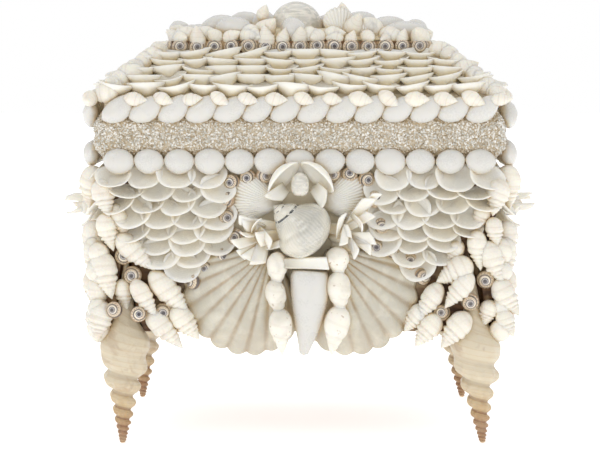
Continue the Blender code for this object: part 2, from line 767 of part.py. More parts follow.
def swag_room(side, flip, table):
    """A helper: the space over a swag and a joint round it, for its neighbours to keep clear of."""
    outline = [(flip * (left - JOINT), z) for z, left, _ in table]
    outline += [(flip * (right + JOINT), z) for z, _, right in reversed(table)]
    low = table[-1][0] - JOINT
    outline = [(x, z if z != table[-1][0] else low) for x, z in outline]
    return cutter(f"{side.name}_swag_room_{flip}", [side.plate(outline, -WALL, SHELL_REACH + WALL)])


def make_swag(side, end, flip, table, cups, material, clear_of):
    """Cup shells in hanging courses that narrow to a point, with their lips down."""
    top, bottom = table[0][0], table[-1][0]
    length = side.z(top) - side.z(bottom)
    courses = round((top - bottom) / CUP_COURSE)

    def edges(below):
        left, right = between(table, top - below * DRAWN_HEIGHT / BOX_HEIGHT)
        return side.x(-right) * flip, side.x(-left) * flip

    sheet = cup_sheet(length, courses, edges, cups, CUP_LIFT)
    hanger = Matrix.Translation((0, 0, side.z(top))) @ Matrix.Rotation(math.pi, 4, "Y")
    fused(f"{side.name}_{end}_cups", [moved(sheet, side.frame @ hanger)], material, [], clear_of)


def spindles(side, flip, table):
    shapes = []
    for x, z, angle, size in table:
        shape = conch(SPINDLE_LENGTH * size, SPINDLE_WIDTH)
        shapes.append(side.at(shape, flip * x, z, SPINDLE_OUT, flip * angle, SPINDLE_LEAN))
    return shapes


def buttons(side, flip, table, out):
    return [side.at(button(BUTTON, BUTTON_HEIGHT), flip * x, z, out) for x, z in table]


def make_corner(side, end, flip, bed, shells, material, clear_of):
    """Spindle shells and buttons in a bed of plaster, down the corner and round the leg."""
    outline = [(flip * x, z) for x, z in bed]
    shapes = [side.plate(outline, 0, GLUE_LINE + BED)] + shells
    fused(f"{side.name}_{end}_spindles", shapes, material, [side.bounds], clear_of)


def make_scallop(side, name, place, ribs, material, clear_of=()):
    """A scallop on its flat side. It gives a helper that keeps the shells over it clear."""
    x, z, angle = place
    form = (SCALLOP_LENGTH, SCALLOP_HEIGHT, SCALLOP_SPREAD, 2 * ribs)
    place = (x, z, FAN_STANDOFF, angle)
    fused(name, [side.at(fan(*form), *place)], material, [], clear_of)
    room = grown(side.at(fan(*form, rib=0), *place), RIB_HEIGHT + 1.5 * JOINT)
    return cutter(name + "_room", [room])


def make_scallop_pair(side, ribs, material, clear_of=()):
    """Two scallops that hang apart from the middle of a long side."""
    x, z, angle = SCALLOP_PLACE
    rooms = []
    for end, flip in zip(side.ends, (1, -1)):
        place = (x * flip, z, angle * flip)
        rooms.append(make_scallop(side, f"{side.name}_{end}_scallop", place, ribs, material, clear_of))
    return rooms


def bloom(side, x, z, out, angles, lean, knot=KNOT):
    """Cut pieces of shell that spread like petals from a round knot."""
    shapes = [side.at(ovoid(knot, knot, knot), x, z, out, angles[0] / 2, 7)]
    for i, angle in enumerate(angles):
        shape = petal(PETAL_LENGTH, PETAL_WIDTH, PETAL_THICKNESS, 0.4 * knot)
        shapes.append(side.at(shape, x, z, out, angle, lean + 14 * (i % 2)))
    return shapes


# The front


def make_turban(side, finishes):
    """The coiled pearl shell in the middle and the band under it, with a helper for each."""
    turban = side.at(shell_of(TURBAN_OUTLINE, TURBAN_LENGTH, TURBAN_WIDTH, 12), *TURBAN_PLACE)
    fused("front_turban", [turban], finishes["pearl"], [side.bounds])
    turban_room = cutter("front_turban_room", [grown(turban)])
    x, z = BAND_PLACE
    outline = [(x + across, z + up) for across, up in rectangle(COLLAR_LENGTH / 2, COLLAR_WIDTH / 2)]
    band = side.plate(outline, COLLAR_BACK, COLLAR_REACH)
    fused("front_band", [band], finishes["white"], [], [turban_room])
    return [turban_room, cutter("front_band_room", [grown(band)])]


def make_cone(side, finishes, clear_of):
    cone = side.at(shell_of(CONE_OUTLINE, CONE_LENGTH, CONE_WIDTH, 10), *CONE_PLACE)
    fused("front_cone", [cone], finishes["white"], [side.bounds], clear_of)
    return cutter("front_cone_room", [grown(cone)])


def make_pearl_drop(side, finishes, clear_of):
    drop = side.at(ovoid(PEARL_LENGTH, PEARL_WIDTH, PEARL_WIDTH), *PEARL_PLACE)
    fused("front_pearl_drop", [drop], finishes["pearl"], [], clear_of)
    return cutter("front_pearl_room", [grown(drop)])


def make_hood(side, finishes, clear_of):
    """Two long cup shells that meet like a roof over the pearl drop."""
    half_cup = ovoid(HOOD_LENGTH, HOOD_WIDTH, HOOD_THICKNESS)
    half_cup = moved(half_cup, Matrix.Translation((0, 0, 0.4 * HOOD_LENGTH)))
    halves = [side.at(half_cup, *HOOD_PLACE, angle, 8) for angle in HOOD_ANGLES]
    fused("front_hood", halves, finishes["white"], [side.bounds], clear_of)


def make_bow(side, end, flip, finishes, clear_of):
    """The ark shell, the bow of cut shell over it and the tassel of conches that hangs from it."""
    x, z, out, angle = ARK_PLACE
    ark = fan(ARK_LENGTH, ARK_HEIGHT, ARK_SPREAD, SMALL_FAN_FOLDS)
    ark = side.at(ark, x * flip, z, out, angle * flip)
    fused(f"front_{end}_ark", [ark], finishes["cream"], [], clear_of)
    clear_of = clear_of + [cutter(f"front_{end}_ark_room", [grown(ark)])]

    x, z, out = BOW_PLACES[end]
    bow = bloom(side, x * flip, z, out, [flip * angle for angle in BOW_ANGLES], BOW_LEAN)
    bow.append(side.at(ovoid(BOW_STEM * KNOT, BOW_STEM * KNOT, out), x * flip, z, out / 2))
    fused(f"front_{end}_bow", bow, finishes["white"], [side.bounds], clear_of)

    tassel = []
    for x, z, angle in TASSELS[end]:
        shell = conch(CONCH_LENGTH, CONCH_WIDTH)
        tassel.append(side.at(shell, x * flip, z, TASSEL_OUT, angle * flip))
    reach, top = 2 * BOW_PLACES[end][0], BOW_FOOT + 2 * KNOT + PETAL_LENGTH
    over = side.plate([(reach, BOW_FOOT), (-reach, BOW_FOOT), (-reach, top), (reach, top)], 0, SHELL_REACH)
    clear_of = clear_of + [cutter(f"front_{end}_bow_room", [over])]
    fused(f"front_{end}_tassel", tassel, finishes["white"], [side.bounds], clear_of)


def make_front(side, finishes, leg_spaces):
    rooms = make_turban(side, finishes)
    scallops = make_scallop_pair(side, SCALLOP_RIBS, finishes["cream"], rooms)
    rooms = rooms + scallops
    rooms.append(make_cone(side, finishes, rooms))
    rooms.append(make_pearl_drop(side, finishes, rooms[:1]))
    make_hood(side, finishes, rooms)
    for end, flip in zip(side.ends, (1, -1)):
        make_bow(side, end, flip, finishes, rooms)
        make_swag(side, end, flip, FRONT_SWAG, 4, finishes["white"], scallops)
        shells = spindles(side, flip, FRONT_SPINDLES)
        shells += buttons(side, flip, FRONT_CORNER_BUTTONS, CORNER_BUTTON_OUT)
        clear = [swag_room(side, flip, FRONT_SWAG), leg_spaces["front", end]] + scallops
        make_corner(side, end, flip, FRONT_CORNER_BED, shells, finishes["tan"], clear)


def make_back(side, finishes, leg_spaces):
    """The back, like the front but plainer."""
    scallops = make_scallop_pair(side, PLAIN_RIBS, finishes["cream"])
    flower = bloom(side, *BACK_FLOWER_PLACE, FLOWER_ANGLES, BACK_FLOWER_LEAN)
    flower.append(side.at(conch(BACK_DROP_LENGTH, BACK_DROP_WIDTH), *BACK_DROP_PLACE))
    fused("back_flower", flower, finishes["white"], [side.bounds], scallops)
    for end, flip in zip(side.ends, (1, -1)):
        make_swag(side, end, flip, FRONT_SWAG, 3, finishes["white"], scallops)
        shells = spindles(side, flip, BACK_SPINDLES)
        clear = [swag_room(side, flip, FRONT_SWAG), leg_spaces["back", end]] + scallops
        make_corner(side, end, flip, FRONT_CORNER_BED, shells, finishes["tan"], clear)


def make_end(side, finishes, leg_spaces):
    """One of the short sides: a scallop hung under a flower of cut shell, between two swags."""
    name = f"{side.name}_scallop"
    rooms = [make_scallop(side, name, SIDE_SCALLOP_PLACE, PLAIN_RIBS, finishes["cream"])]
    flower = bloom(side, *SIDE_FLOWER_PLACE, FLOWER_ANGLES, SIDE_FLOWER_LEAN, SIDE_KNOT)
    fused(f"{side.name}_flower", flower, finishes["white"], [side.bounds], rooms)
    for end, flip in zip(side.ends, (1, -1)):
        make_swag(side, end, flip, SIDE_SWAG, 3, finishes["white"], rooms)
        shells = spindles(side, flip, SIDE_SPINDLES)
        clear = [swag_room(side, flip, SIDE_SWAG), leg_spaces[end, side.name]] + rooms
        make_corner(side, end, flip, SIDE_CORNER_BED, shells, finishes["tan"], clear)


def build():
    clear_scene()
    finishes = make_finishes()
    sides = make_sides()
    leg_spaces = make_legs(finishes["leg"])
    make_box(finishes["wood"], leg_spaces)
    make_lid(finishes["wood"])
    make_grit(finishes["grit"])
    crown_space = make_crown_space()
    for side in sides.values():
        make_oval_rows(side, finishes["white"])
        make_lid_cups(side, finishes["white"], crown_space)
    make_rim_buttons(finishes["tan"])
    make_heap(finishes)
    make_front(sides["front"], finishes, leg_spaces)
    make_back(sides["back"], finishes, leg_spaces)
    make_end(sides["left"], finishes, leg_spaces)
    make_end(sides["right"], finishes, leg_spaces)


build()
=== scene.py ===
"""The looks of a footed shell box: fine shells, their finishes, the light and the camera.

The file has the layout of a Blender add-on and is run as a script. Metres, +Z up, front towards -Y.
Tables of places on a side are in millimetres: x runs right along the side from its middle, z runs up
from the table and out is the distance from the wood. Angles are in degrees clockwise from up.
"""

import math
import random

import bpy
from mathutils import Euler, Matrix, Vector


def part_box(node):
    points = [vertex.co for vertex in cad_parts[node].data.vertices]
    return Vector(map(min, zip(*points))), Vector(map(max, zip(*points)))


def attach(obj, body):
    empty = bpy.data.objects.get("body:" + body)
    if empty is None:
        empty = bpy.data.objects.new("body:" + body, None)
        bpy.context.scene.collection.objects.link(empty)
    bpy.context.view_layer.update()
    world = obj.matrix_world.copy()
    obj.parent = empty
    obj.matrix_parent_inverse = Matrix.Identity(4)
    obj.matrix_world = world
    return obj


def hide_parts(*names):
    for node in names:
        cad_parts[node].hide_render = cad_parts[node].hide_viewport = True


bl_info = {
    "name": "Shell box",
    "version": (1, 0, 0),
    "blender": (4, 5, 0),
    "location": "3D View > Sidebar > Shell box",
    "description": "Dresses a wooden casket with sea shells",
    "category": "Object",
}

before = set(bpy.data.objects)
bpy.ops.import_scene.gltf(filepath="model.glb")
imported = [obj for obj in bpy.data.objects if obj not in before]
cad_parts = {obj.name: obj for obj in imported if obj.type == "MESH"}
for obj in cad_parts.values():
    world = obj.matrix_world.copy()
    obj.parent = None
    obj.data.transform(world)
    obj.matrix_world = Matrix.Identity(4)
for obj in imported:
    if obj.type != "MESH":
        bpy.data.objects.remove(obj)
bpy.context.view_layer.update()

MM = 0.001
BODY = "root"

# The wood, as the frame gives it
HALF_WIDTH, HALF_DEPTH, BOX_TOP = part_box("box")[1]
CROWN_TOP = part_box("lid")[1].z
BUTTONS_LOW, BUTTONS_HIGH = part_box("lid_buttons")
CROWN_BASE = BUTTONS_LOW.z
RIM_BUTTON_REACH = 4.5 * MM
CROWN_HALF_WIDTH = BUTTONS_HIGH.x - RIM_BUTTON_REACH
CROWN_HALF_DEPTH = BUTTONS_HIGH.y - RIM_BUTTON_REACH
CROWN_INSET = 2 * MM
LID_RUN = HALF_WIDTH - CROWN_HALF_WIDTH - CROWN_INSET
LID_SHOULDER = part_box("lid_front_cups")[0].z
SLOPE_RISE = CROWN_BASE - LID_SHOULDER
SLOPE_LENGTH = math.hypot(LID_RUN, SLOPE_RISE)
SLOPE_LEAN = math.atan2(LID_RUN, SLOPE_RISE)


# Sizes and colours that a user would change


def size(name, description, default):
    return bpy.props.FloatProperty(
        name=name, description=description, default=default, unit="LENGTH", subtype="DISTANCE"
    )


def colour(name, description, default):
    return bpy.props.FloatVectorProperty(
        name=name, description=description, default=default, subtype="COLOR", size=3, min=0, max=1
    )


class ShellSizes(bpy.types.PropertyGroup):
    oval_length: size("Oval length", "Length of a slanted oval on the lid", 0.0290)
    oval_width: size("Oval width", "Width of a slanted oval on the lid", 0.0178)
    oval_thickness: size("Oval thickness", "Thickness of an oval, from the wood out", 0.0135)
    bead_width: size("Bead width", "Width of a round oval under the seam", 0.0242)
    bead_height: size("Bead height", "Height of a round oval under the seam", 0.0200)
    cup_width: size("Cup width", "Width of a cup shell", 0.0285)
    cup_length: size("Cup length", "Height of a cup shell from its beak to its lip", 0.0245)
    cup_depth: size("Cup depth", "Depth of a cup shell", 0.0052)
    cup_course: size("Cup course", "Distance between two courses of hanging cup shells", 0.0096)
    lid_cup_width: size("Lid cup width", "Width of a cup shell on the lid", 0.0285)
    lid_cup_depth: size("Lid cup depth", "Depth of a cup shell on the lid", 0.0118)
    lid_cup_course: size("Lid course", "Distance up the slope between two courses on the lid", 0.0111)
    button_width: size("Button width", "Width of a button shell", 0.0138)
    button_height: size("Button height", "Height of a button shell", 0.0080)
    scallop_length: size("Scallop length", "Length of a scallop from its hinge to its margin", 0.0870)
    scallop_height: size("Scallop height", "How far a scallop stands out", 0.0130)
    leg_length: size("Leg length", "Length of a leg shell", 0.1500)
    leg_width: size("Leg width", "Greatest width of a leg shell", 0.0378)
    chip_size: size("Chip size", "Size of a chip of crushed shell", 0.0043)
    shard_thickness: size("Shard thickness", "Thickness of a cut piece of shell", 0.0014)
    scallop_ribs: bpy.props.IntProperty(
        name="Scallop ribs", description="Ribs across a scallop", default=11, min=5, max=25
    )


class ShellColours(bpy.types.PropertyGroup):
    porcelain: colour("Porcelain", "Smooth white ovals", (0.64, 0.63, 0.60))
    cup_inside: colour("Cup inside", "Inside of a cup shell", (0.86, 0.835, 0.74))
    cup_rim: colour("Cup rim", "Lip of a cup shell", (0.90, 0.87, 0.79))
    ivory: colour("Ivory", "Outside of a cup shell on the lid", (0.92, 0.87, 0.745))
    cream: colour("Cream", "Ribs of a scallop", (0.53, 0.495, 0.415))
    groove: colour("Groove", "Grooves of a scallop", (0.36, 0.23, 0.11))
    whelk: colour("Whelk", "Small whelks and conches", (0.78, 0.745, 0.67))
    blush: colour("Blush", "Pink patches on the conches", (0.62, 0.45, 0.36))
    button_tan: colour("Button tan", "Outer whorl of a button shell", (0.33, 0.19, 0.10))
    button_cream: colour("Button cream", "Light bands of a button shell", (0.66, 0.56, 0.43))
    button_eye: colour("Button eye", "Worn middle of a button shell", (0.045, 0.04, 0.05))
    leg_cream: colour("Leg cream", "Upper whorls of a leg", (0.63, 0.555, 0.42))
    leg_gold: colour("Leg gold", "Middle whorls of a leg", (0.54, 0.40, 0.22))
    leg_brown: colour("Leg brown", "Worn tip of a leg", (0.25, 0.10, 0.045))
    pearl: colour("Pearl", "Mother-of-pearl", (0.56, 0.545, 0.49))
    pearl_shade: colour("Pearl shade", "Dull streaks in the mother-of-pearl", (0.43, 0.42, 0.37))
    suture: colour("Suture", "Dark broken line between the pearly whorls", (0.03, 0.035, 0.04))
    chip_white: colour("Chip white", "White chips", (0.90, 0.89, 0.85))
    chip_grey: colour("Chip grey", "Grey chips", (0.60, 0.60, 0.56))
    chip_tan: colour("Chip tan", "Tan chips", (0.55, 0.48, 0.37))
    wood: colour("Wood", "Stained wood", (0.085, 0.036, 0.012))
    wood_light: colour("Light wood", "Light grain of the wood", (0.20, 0.10, 0.036))
    button_grey: colour("Button grey", "Worn grey spiral of a button shell", (0.42, 0.40, 0.41))
    plaster: colour("Plaster", "Plaster that the shells are bedded in", (0.74, 0.66, 0.49))
    # Old glue, and also painted shade: the tone group blends this colour into the gaps and creases between
    # shells where ambient occlusion is deep
    glue_and_gap_shade: colour("Glue", "Old glue between the shells", (0.74, 0.58, 0.35))


class StageSettings(bpy.types.PropertyGroup):
    lens: bpy.props.FloatProperty(
        name="Lens", description="Focal length for a 36 mm frame", default=112, unit="CAMERA"
    )
    distance: size("Camera distance", "From the middle of the box to the camera", 1.507)
    height: size("Camera height", "Height of the camera over the table", 0.312)
    pitch: bpy.props.FloatProperty(
        name="Pitch", description="Downward tilt of the camera", default=math.radians(5.78),
        subtype="ANGLE",
    )
    backdrop: colour("Backdrop", "Floor and surroundings", (0.95, 0.95, 0.95))


# Frames of reference


class Side:
    """One side of the wood, with frames for its wall and for the lid's slope over it."""

    def __init__(self, name, turn, half, reach):
        self.name = name
        self.half = half
        self.long = half == HALF_WIDTH
        self.crown_half = CROWN_HALF_WIDTH if self.long else CROWN_HALF_DEPTH
        self.frame = Matrix.Rotation(turn, 4, "Z") @ Matrix.Translation((0, -reach, 0))
        foot = Matrix.Translation((0, 0, LID_SHOULDER))
        self.slope = self.frame @ foot @ Matrix.Rotation(-SLOPE_LEAN, 4, "X")

    def place(self, x, z, out=0.0, angle=0.0, lean=0.0, roll=0.0):
        """The frame of a shell in metres: its turn clockwise from up, its lean outwards and its roll."""
        turn = Matrix.Rotation(math.radians(angle), 4, "Y") @ Matrix.Rotation(math.radians(lean), 4, "X")
        turn = turn @ Matrix.Rotation(math.radians(roll), 4, "Z")
        return self.frame @ Matrix.Translation((x, -out, z)) @ turn

    def facing(self, x, z, out=0.0, tilt=0.0, swing=0.0):
        """The frame of a shell whose tip points out of the wood."""
        turn = Matrix.Rotation(math.radians(swing), 4, "Z") @ Matrix.Rotation(math.radians(90 + tilt), 4, "X")
        return self.frame @ Matrix.Translation((x, -out, z)) @ turn


QUARTER = math.pi / 2
SIDES = {
    "front": Side("front", 0, HALF_WIDTH, HALF_DEPTH),
    "right": Side("right", QUARTER, HALF_DEPTH, HALF_WIDTH),
    "back": Side("back", 2 * QUARTER, HALF_WIDTH, HALF_DEPTH),
    "left": Side("left", 3 * QUARTER, HALF_DEPTH, HALF_WIDTH),
}
ENDS = {
    "front": ("left", "right"), "right": ("front", "back"), "back": ("right", "left"),
    "left": ("back", "front"),
}


def evenly(half, pitch):
    """Even places along a row of this half length, as near to the pitch as they come."""
    count = max(2, round(2 * half / pitch))
    step = 2 * half / count
    return [-half + (i + 0.5) * step for i in range(count)]


def from_root_to_tip(side, root_x, root_z, tip_x, tip_z, out, lean=0.0, roll=0.0):
    """The frame and the length of a shell that lies between two points of a side, in millimetres."""
    x, z = (root_x + tip_x) / 2 * MM, (root_z + tip_z) / 2 * MM
    across, up = tip_x - root_x, tip_z - root_z
    angle = math.degrees(math.atan2(across, up))
    return side.place(x, z, out * MM, angle, lean, roll), math.hypot(across, up) * MM


# Meshes of single shells, with their tip along +z and their outer side along -y


def smooth_between(table, at):
    """The value at a place in a table of (place, value), along a smooth curve."""
    if at <= table[0][0]:
        return table[0][1]
    for i in range(len(table) - 1):
        (a, low), (b, high) = table[i], table[i + 1]
        if at <= b:
            before = table[i - 1] if i else table[i]
            after = table[i + 2] if i + 2 < len(table) else table[i + 1]
            step = b - a
            rise = (high - before[1]) / (b - before[0]) * step
            fall = (after[1] - low) / (after[0] - a) * step
            t = (at - a) / step
            keep = (2 * t**3 - 3 * t**2 + 1) * low + (-2 * t**3 + 3 * t**2) * high
            return keep + (t**3 - 2 * t**2 + t) * rise + (t**3 - t**2) * fall
    return table[-1][1]


def skin(name, rings, uvs, closed=True):
    """A mesh from rings of points, the lowest first. A ring of one point closes an end.

    Each ring has a value for the uv map's v; u runs from 0 to 1 round the ring.
    """
    points, starts = [], []
    for ring in rings:
        starts.append(len(points))
        points += ring
    count = max(len(ring) for ring in rings)
    spans = count if closed else count - 1
    faces, corners = [], []
    for i in range(len(rings) - 1):
        low, high = rings[i], rings[i + 1]
        for j in range(spans):
            k = (j + 1) % count
            a, b = starts[i] + j % len(low), starts[i] + k % len(low)
            c, d = starts[i + 1] + k % len(high), starts[i + 1] + j % len(high)
            left, right = j / spans, (j + 1) / spans
            loop = [(a, left, uvs[i]), (b, right, uvs[i]), (c, right, uvs[i + 1]), (d, left, uvs[i + 1])]
            if len(low) == 1:
                loop = [(a, (left + right) / 2, uvs[i]), loop[2], loop[3]]
            elif len(high) == 1:
                loop = [loop[0], loop[1], (c, (left + right) / 2, uvs[i + 1])]
            faces.append([corner[0] for corner in loop])
            corners += [corner[1:] for corner in loop]
    mesh = bpy.data.meshes.new(name)
    mesh.from_pydata([tuple(point) for point in points], [], faces)
    layer = mesh.uv_layers.new(name="shell")
    for item, uv in zip(layer.data, corners):
        item.uv = uv
    mesh.shade_smooth()
    return mesh


def thickened(mesh, thickness):
    """A closed mesh from an open sheet. The wall grows away from the sheet's outer side."""
    obj = bpy.data.objects.new("sheet", mesh)
    bpy.context.scene.collection.objects.link(obj)
    wall = obj.modifiers.new("wall", "SOLIDIFY")
    wall.thickness = thickness
    wall.offset = -1
    wall.use_even_offset = False
    closed = plain_mesh(obj, mesh.name)
    bpy.data.objects.remove(obj)
    return closed


def plain_mesh(obj, name):
    """The mesh of an object with its modifiers applied."""
    graph = bpy.context.evaluated_depsgraph_get()
    mesh = bpy.data.meshes.new_from_object(
        obj.evaluated_get(graph), preserve_all_data_layers=True, depsgraph=graph
    )
    mesh.name = name
    return mesh


EGG = ((0.0, 0.0), (0.06, 0.42), (0.2, 0.76), (0.45, 1.0), (0.7, 0.88), (0.9, 0.52), (1.0, 0.0))


def oval_shell(name, length, width, thickness, rows=9, sides=14, lip=0.05):
    """A smooth oval shell, a little fuller towards its root, with a soft ridge along one edge."""
    rings, uvs = [], []
    for i in range(rows + 1):
        share = (1 - math.cos(math.pi * i / rows)) / 2
        half = smooth_between(EGG, share)
        uvs.append(share)
        if i in (0, rows):
            rings.append([Vector((0, 0, (share - 0.5) * length))])
            continue
        ring = []
        for j in range(sides):
            angle = math.tau * j / sides
            swell = 1 + lip * math.cos(2 * angle + 3 * share)
            x = half * width / 2 * math.cos(angle) * swell
            y = half * thickness / 2 * math.sin(angle)
            ring.append(Vector((x + lip * length * math.sin(math.pi * share), y, (share - 0.5) * length)))
        rings.append(ring)
    return skin(name, rings, uvs)


def spired_shell(name, length, width, outline, growth, sink=0.10, sides=20, rows=26, body=0.45,
                 knobs=0, knob=0.0, knob_at=0.55, even=0.4, ribs=0, rib=0.0, flatten=1.0, bend=0.0):
    """A coiled shell. The outline gives shares of its radius from its base, 0, to its tip, 1.

    Growth is how much larger each whorl is than the one before it, and sink how deep the seams
    between them are. The body is the share of the length below which the shell has no more seams,
    and even is how much of its knobs' height it keeps there.
    """
    rings, uvs = [], []
    for i in range(rows + 1):
        share = 1 - (1 - i / rows) ** 1.25
        radius = max(0.0, smooth_between(outline, share)) * width / 2
        slant = math.hypot(1 - share, 0.6 * smooth_between(outline, share) * width / length)
        whorl = math.log(slant + 0.012) / math.log(growth)
        uvs.append(whorl)
        z = (share - 0.5) * length
        if i in (0, rows) or radius < 1e-6:
            rings.append([Vector((bend * length * (0.25 - (share - 0.5) ** 2), 0, z))])
            continue
        seams = min(1.0, max(0.0, (share - body) / 0.12))
        ring = []
        for j in range(sides):
            turn = j / sides
            phase = (whorl - turn) % 1.0
            seam = abs(2 * phase - 1) ** 3
            reach = 1 - sink * seam * seams
            shoulder = max(0.0, 1 - ((phase - knob_at) / 0.36) ** 2)
            if knobs:
                bump = shoulder * (0.5 + 0.5 * math.cos(math.tau * knobs * turn))
                reach += knob * bump * (even + (1 - even) * seams)
            if ribs:
                reach += rib * math.cos(math.tau * ribs * turn) * (1 - seam)
            angle = math.tau * turn
            x = radius * reach * math.cos(angle) + bend * length * (0.25 - (share - 0.5) ** 2)
            ring.append(Vector((x, radius * reach * math.sin(angle) * flatten, z)))
        rings.append(ring)
    return skin(name, rings, uvs)


def fan_shell(name, length, height, spread, ribs, rib, thickness, rows=26, per_rib=6, hinge=0.06):
    """A ribbed fan with its hinge at the origin and its margin up: a thin dome open at the back."""
    columns = ribs * per_rib
    rings, uvs = [], []
    for i in range(rows + 1):
        reach = hinge + (1 - hinge) * i / rows
        ring = []
        for j in range(columns + 1):
            share = 0.985 * (2 * j / columns - 1)
            crest = 2 * abs(math.sin(math.pi * ribs * (share + 1) / 2)) ** 0.7 - 1
            ridge = rib * crest * (0.35 + 0.65 * reach)
            fall = math.cos(share * math.pi / 2)
            ring_line = 0.0025 * length * math.sin(reach * 46 + 3 * share) * reach
            along = reach * (length * fall**0.25 + 1.3 * rib * crest)
            dome = height * math.sin(math.pi * min(1, reach) ** 0.75) ** 0.9 * fall**0.4
            rise = dome + ridge + 0.12 * ring_line
            angle = share * math.radians(spread)
            y = -max(rise, -0.2 * rib) - thickness
            ring.append(Vector((along * math.sin(angle), y, along * math.cos(angle))))
        rings.append(ring)
        uvs.append(reach)
    return thickened(skin(name, rings, uvs, closed=False), thickness)


def cup_shell(name, width, length, depth, thickness, rows=4, sides=16, beak=0.28, ruffle=0.02,
              fullness=2.2, point=0.0):
    """A shallow cup that opens along -y, with its beak towards +z and its two ends more or less pointed."""
    rings, uvs = [], []
    for i in range(rows + 1):
        reach = i / rows
        if i == 0:
            rings.append([Vector((0, depth, beak * length / 2))])
            uvs.append(0.0)
            continue
        ring = []
        for j in range(sides):
            angle = math.tau * j / sides
            wave = 1 + ruffle * math.sin(3 * angle + 1) + ruffle * math.sin(5 * angle)
            x = width / 2 * reach * math.cos(angle) * wave
            up = math.sin(angle) * abs(math.sin(angle)) ** point
            z = length / 2 * (reach * up * wave + beak * (1 - reach))
            y = depth * (1 - reach**fullness)
            ring.append(Vector((x, y, z)))
        rings.append(ring)
        uvs.append(reach)
    return thickened(skin(name, rings, uvs), -thickness)


def shard_shell(name, length, width, curl, thickness, hollow=0.18, slant=0.5, rows=7, columns=4):
    """A cut strip of shell that starts at the origin, runs up and curls outwards, with a slanted end."""
    curl = math.radians(curl)
    radius = length / curl
    rings, uvs = [], []
    for i in range(rows + 1):
        share = i / rows
        half = width / 2 * (0.72 + 0.55 * share - 0.27 * share**2)
        ring = []
        for j in range(columns + 1):
            across = 2 * j / columns - 1
            late = share + slant * width / length * across * share**2
            bend = curl * late
            dish = hollow * width * (1 - across**2)
            out = radius * (1 - math.cos(bend)) - dish * math.cos(bend)
            along = radius * math.sin(bend) + dish * math.sin(bend)
            ring.append(Vector((across * half, -out, along)))
        rings.append(ring)
        uvs.append(share)
    return thickened(skin(name, rings, uvs, closed=False), thickness)


def chip_shell(name, size_of_chip):
    """A sharp chip of crushed shell with four faces."""
    corners = ((0.5, 0.1, -0.1), (-0.3, 0.42, 0), (-0.2, -0.45, 0), (0.05, 0.05, 0.42))
    faces = [(0, 1, 3), (1, 2, 3), (2, 0, 3), (1, 0, 2)]
    mesh = bpy.data.meshes.new(name)
    mesh.from_pydata([tuple(Vector(corner) * size_of_chip) for corner in corners], [], faces)
    return mesh


# Setting many copies of a shell


def node(tree, kind, **settings):
    """A new node with its settings."""
    made = tree.nodes.new(kind)
    for key, value in settings.items():
        setattr(made, key, value)
    return made


def socket(sockets, name):
    """The socket of this name that the node's settings have turned on."""
    return next(item for item in sockets if item.name == name and item.enabled)


def random_value(tree, seed, low, high, kind="FLOAT"):
    made = node(tree, "FunctionNodeRandomValue", data_type=kind)
    socket(made.inputs, "Min").default_value = low
    socket(made.inputs, "Max").default_value = high
    tree.links.new(seed, socket(made.inputs, "Seed"))
    return socket(made.outputs, "Value")


def start_tree(name, inputs):
    """A tree of Geometry Nodes with named inputs, and its first and last node."""
    tree = bpy.data.node_groups.new(name, "GeometryNodeTree")
    for label, kind in inputs:
        tree.interface.new_socket(label, in_out="INPUT", socket_type=kind)
    tree.interface.new_socket("Shells", in_out="OUTPUT", socket_type="NodeSocketGeometry")
    return tree, node(tree, "NodeGroupInput"), node(tree, "NodeGroupOutput")


def end_tree(tree, shells, inputs, output, seed, extra=None):
    """Tint each copy by chance, make all copies real and give them their finish."""
    links = tree.links
    tint = node(tree, "GeometryNodeStoreNamedAttribute", data_type="FLOAT", domain="INSTANCE")
    tint.inputs["Name"].default_value = "tint"
    links.new(shells, tint.inputs["Geometry"])
    links.new(random_value(tree, seed, 0.0, 1.0), socket(tint.inputs, "Value"))
    both = node(tree, "GeometryNodeJoinGeometry")
    links.new(tint.outputs["Geometry"], both.inputs["Geometry"])
    if extra:
        links.new(extra, both.inputs["Geometry"])
    real = node(tree, "GeometryNodeRealizeInstances")
    links.new(both.outputs["Geometry"], real.inputs["Geometry"])
    finish = node(tree, "GeometryNodeSetMaterial")
    links.new(real.outputs["Geometry"], finish.inputs["Geometry"])
    links.new(inputs.outputs["Finish"], finish.inputs["Material"])
    links.new(finish.outputs["Geometry"], output.inputs["Shells"])


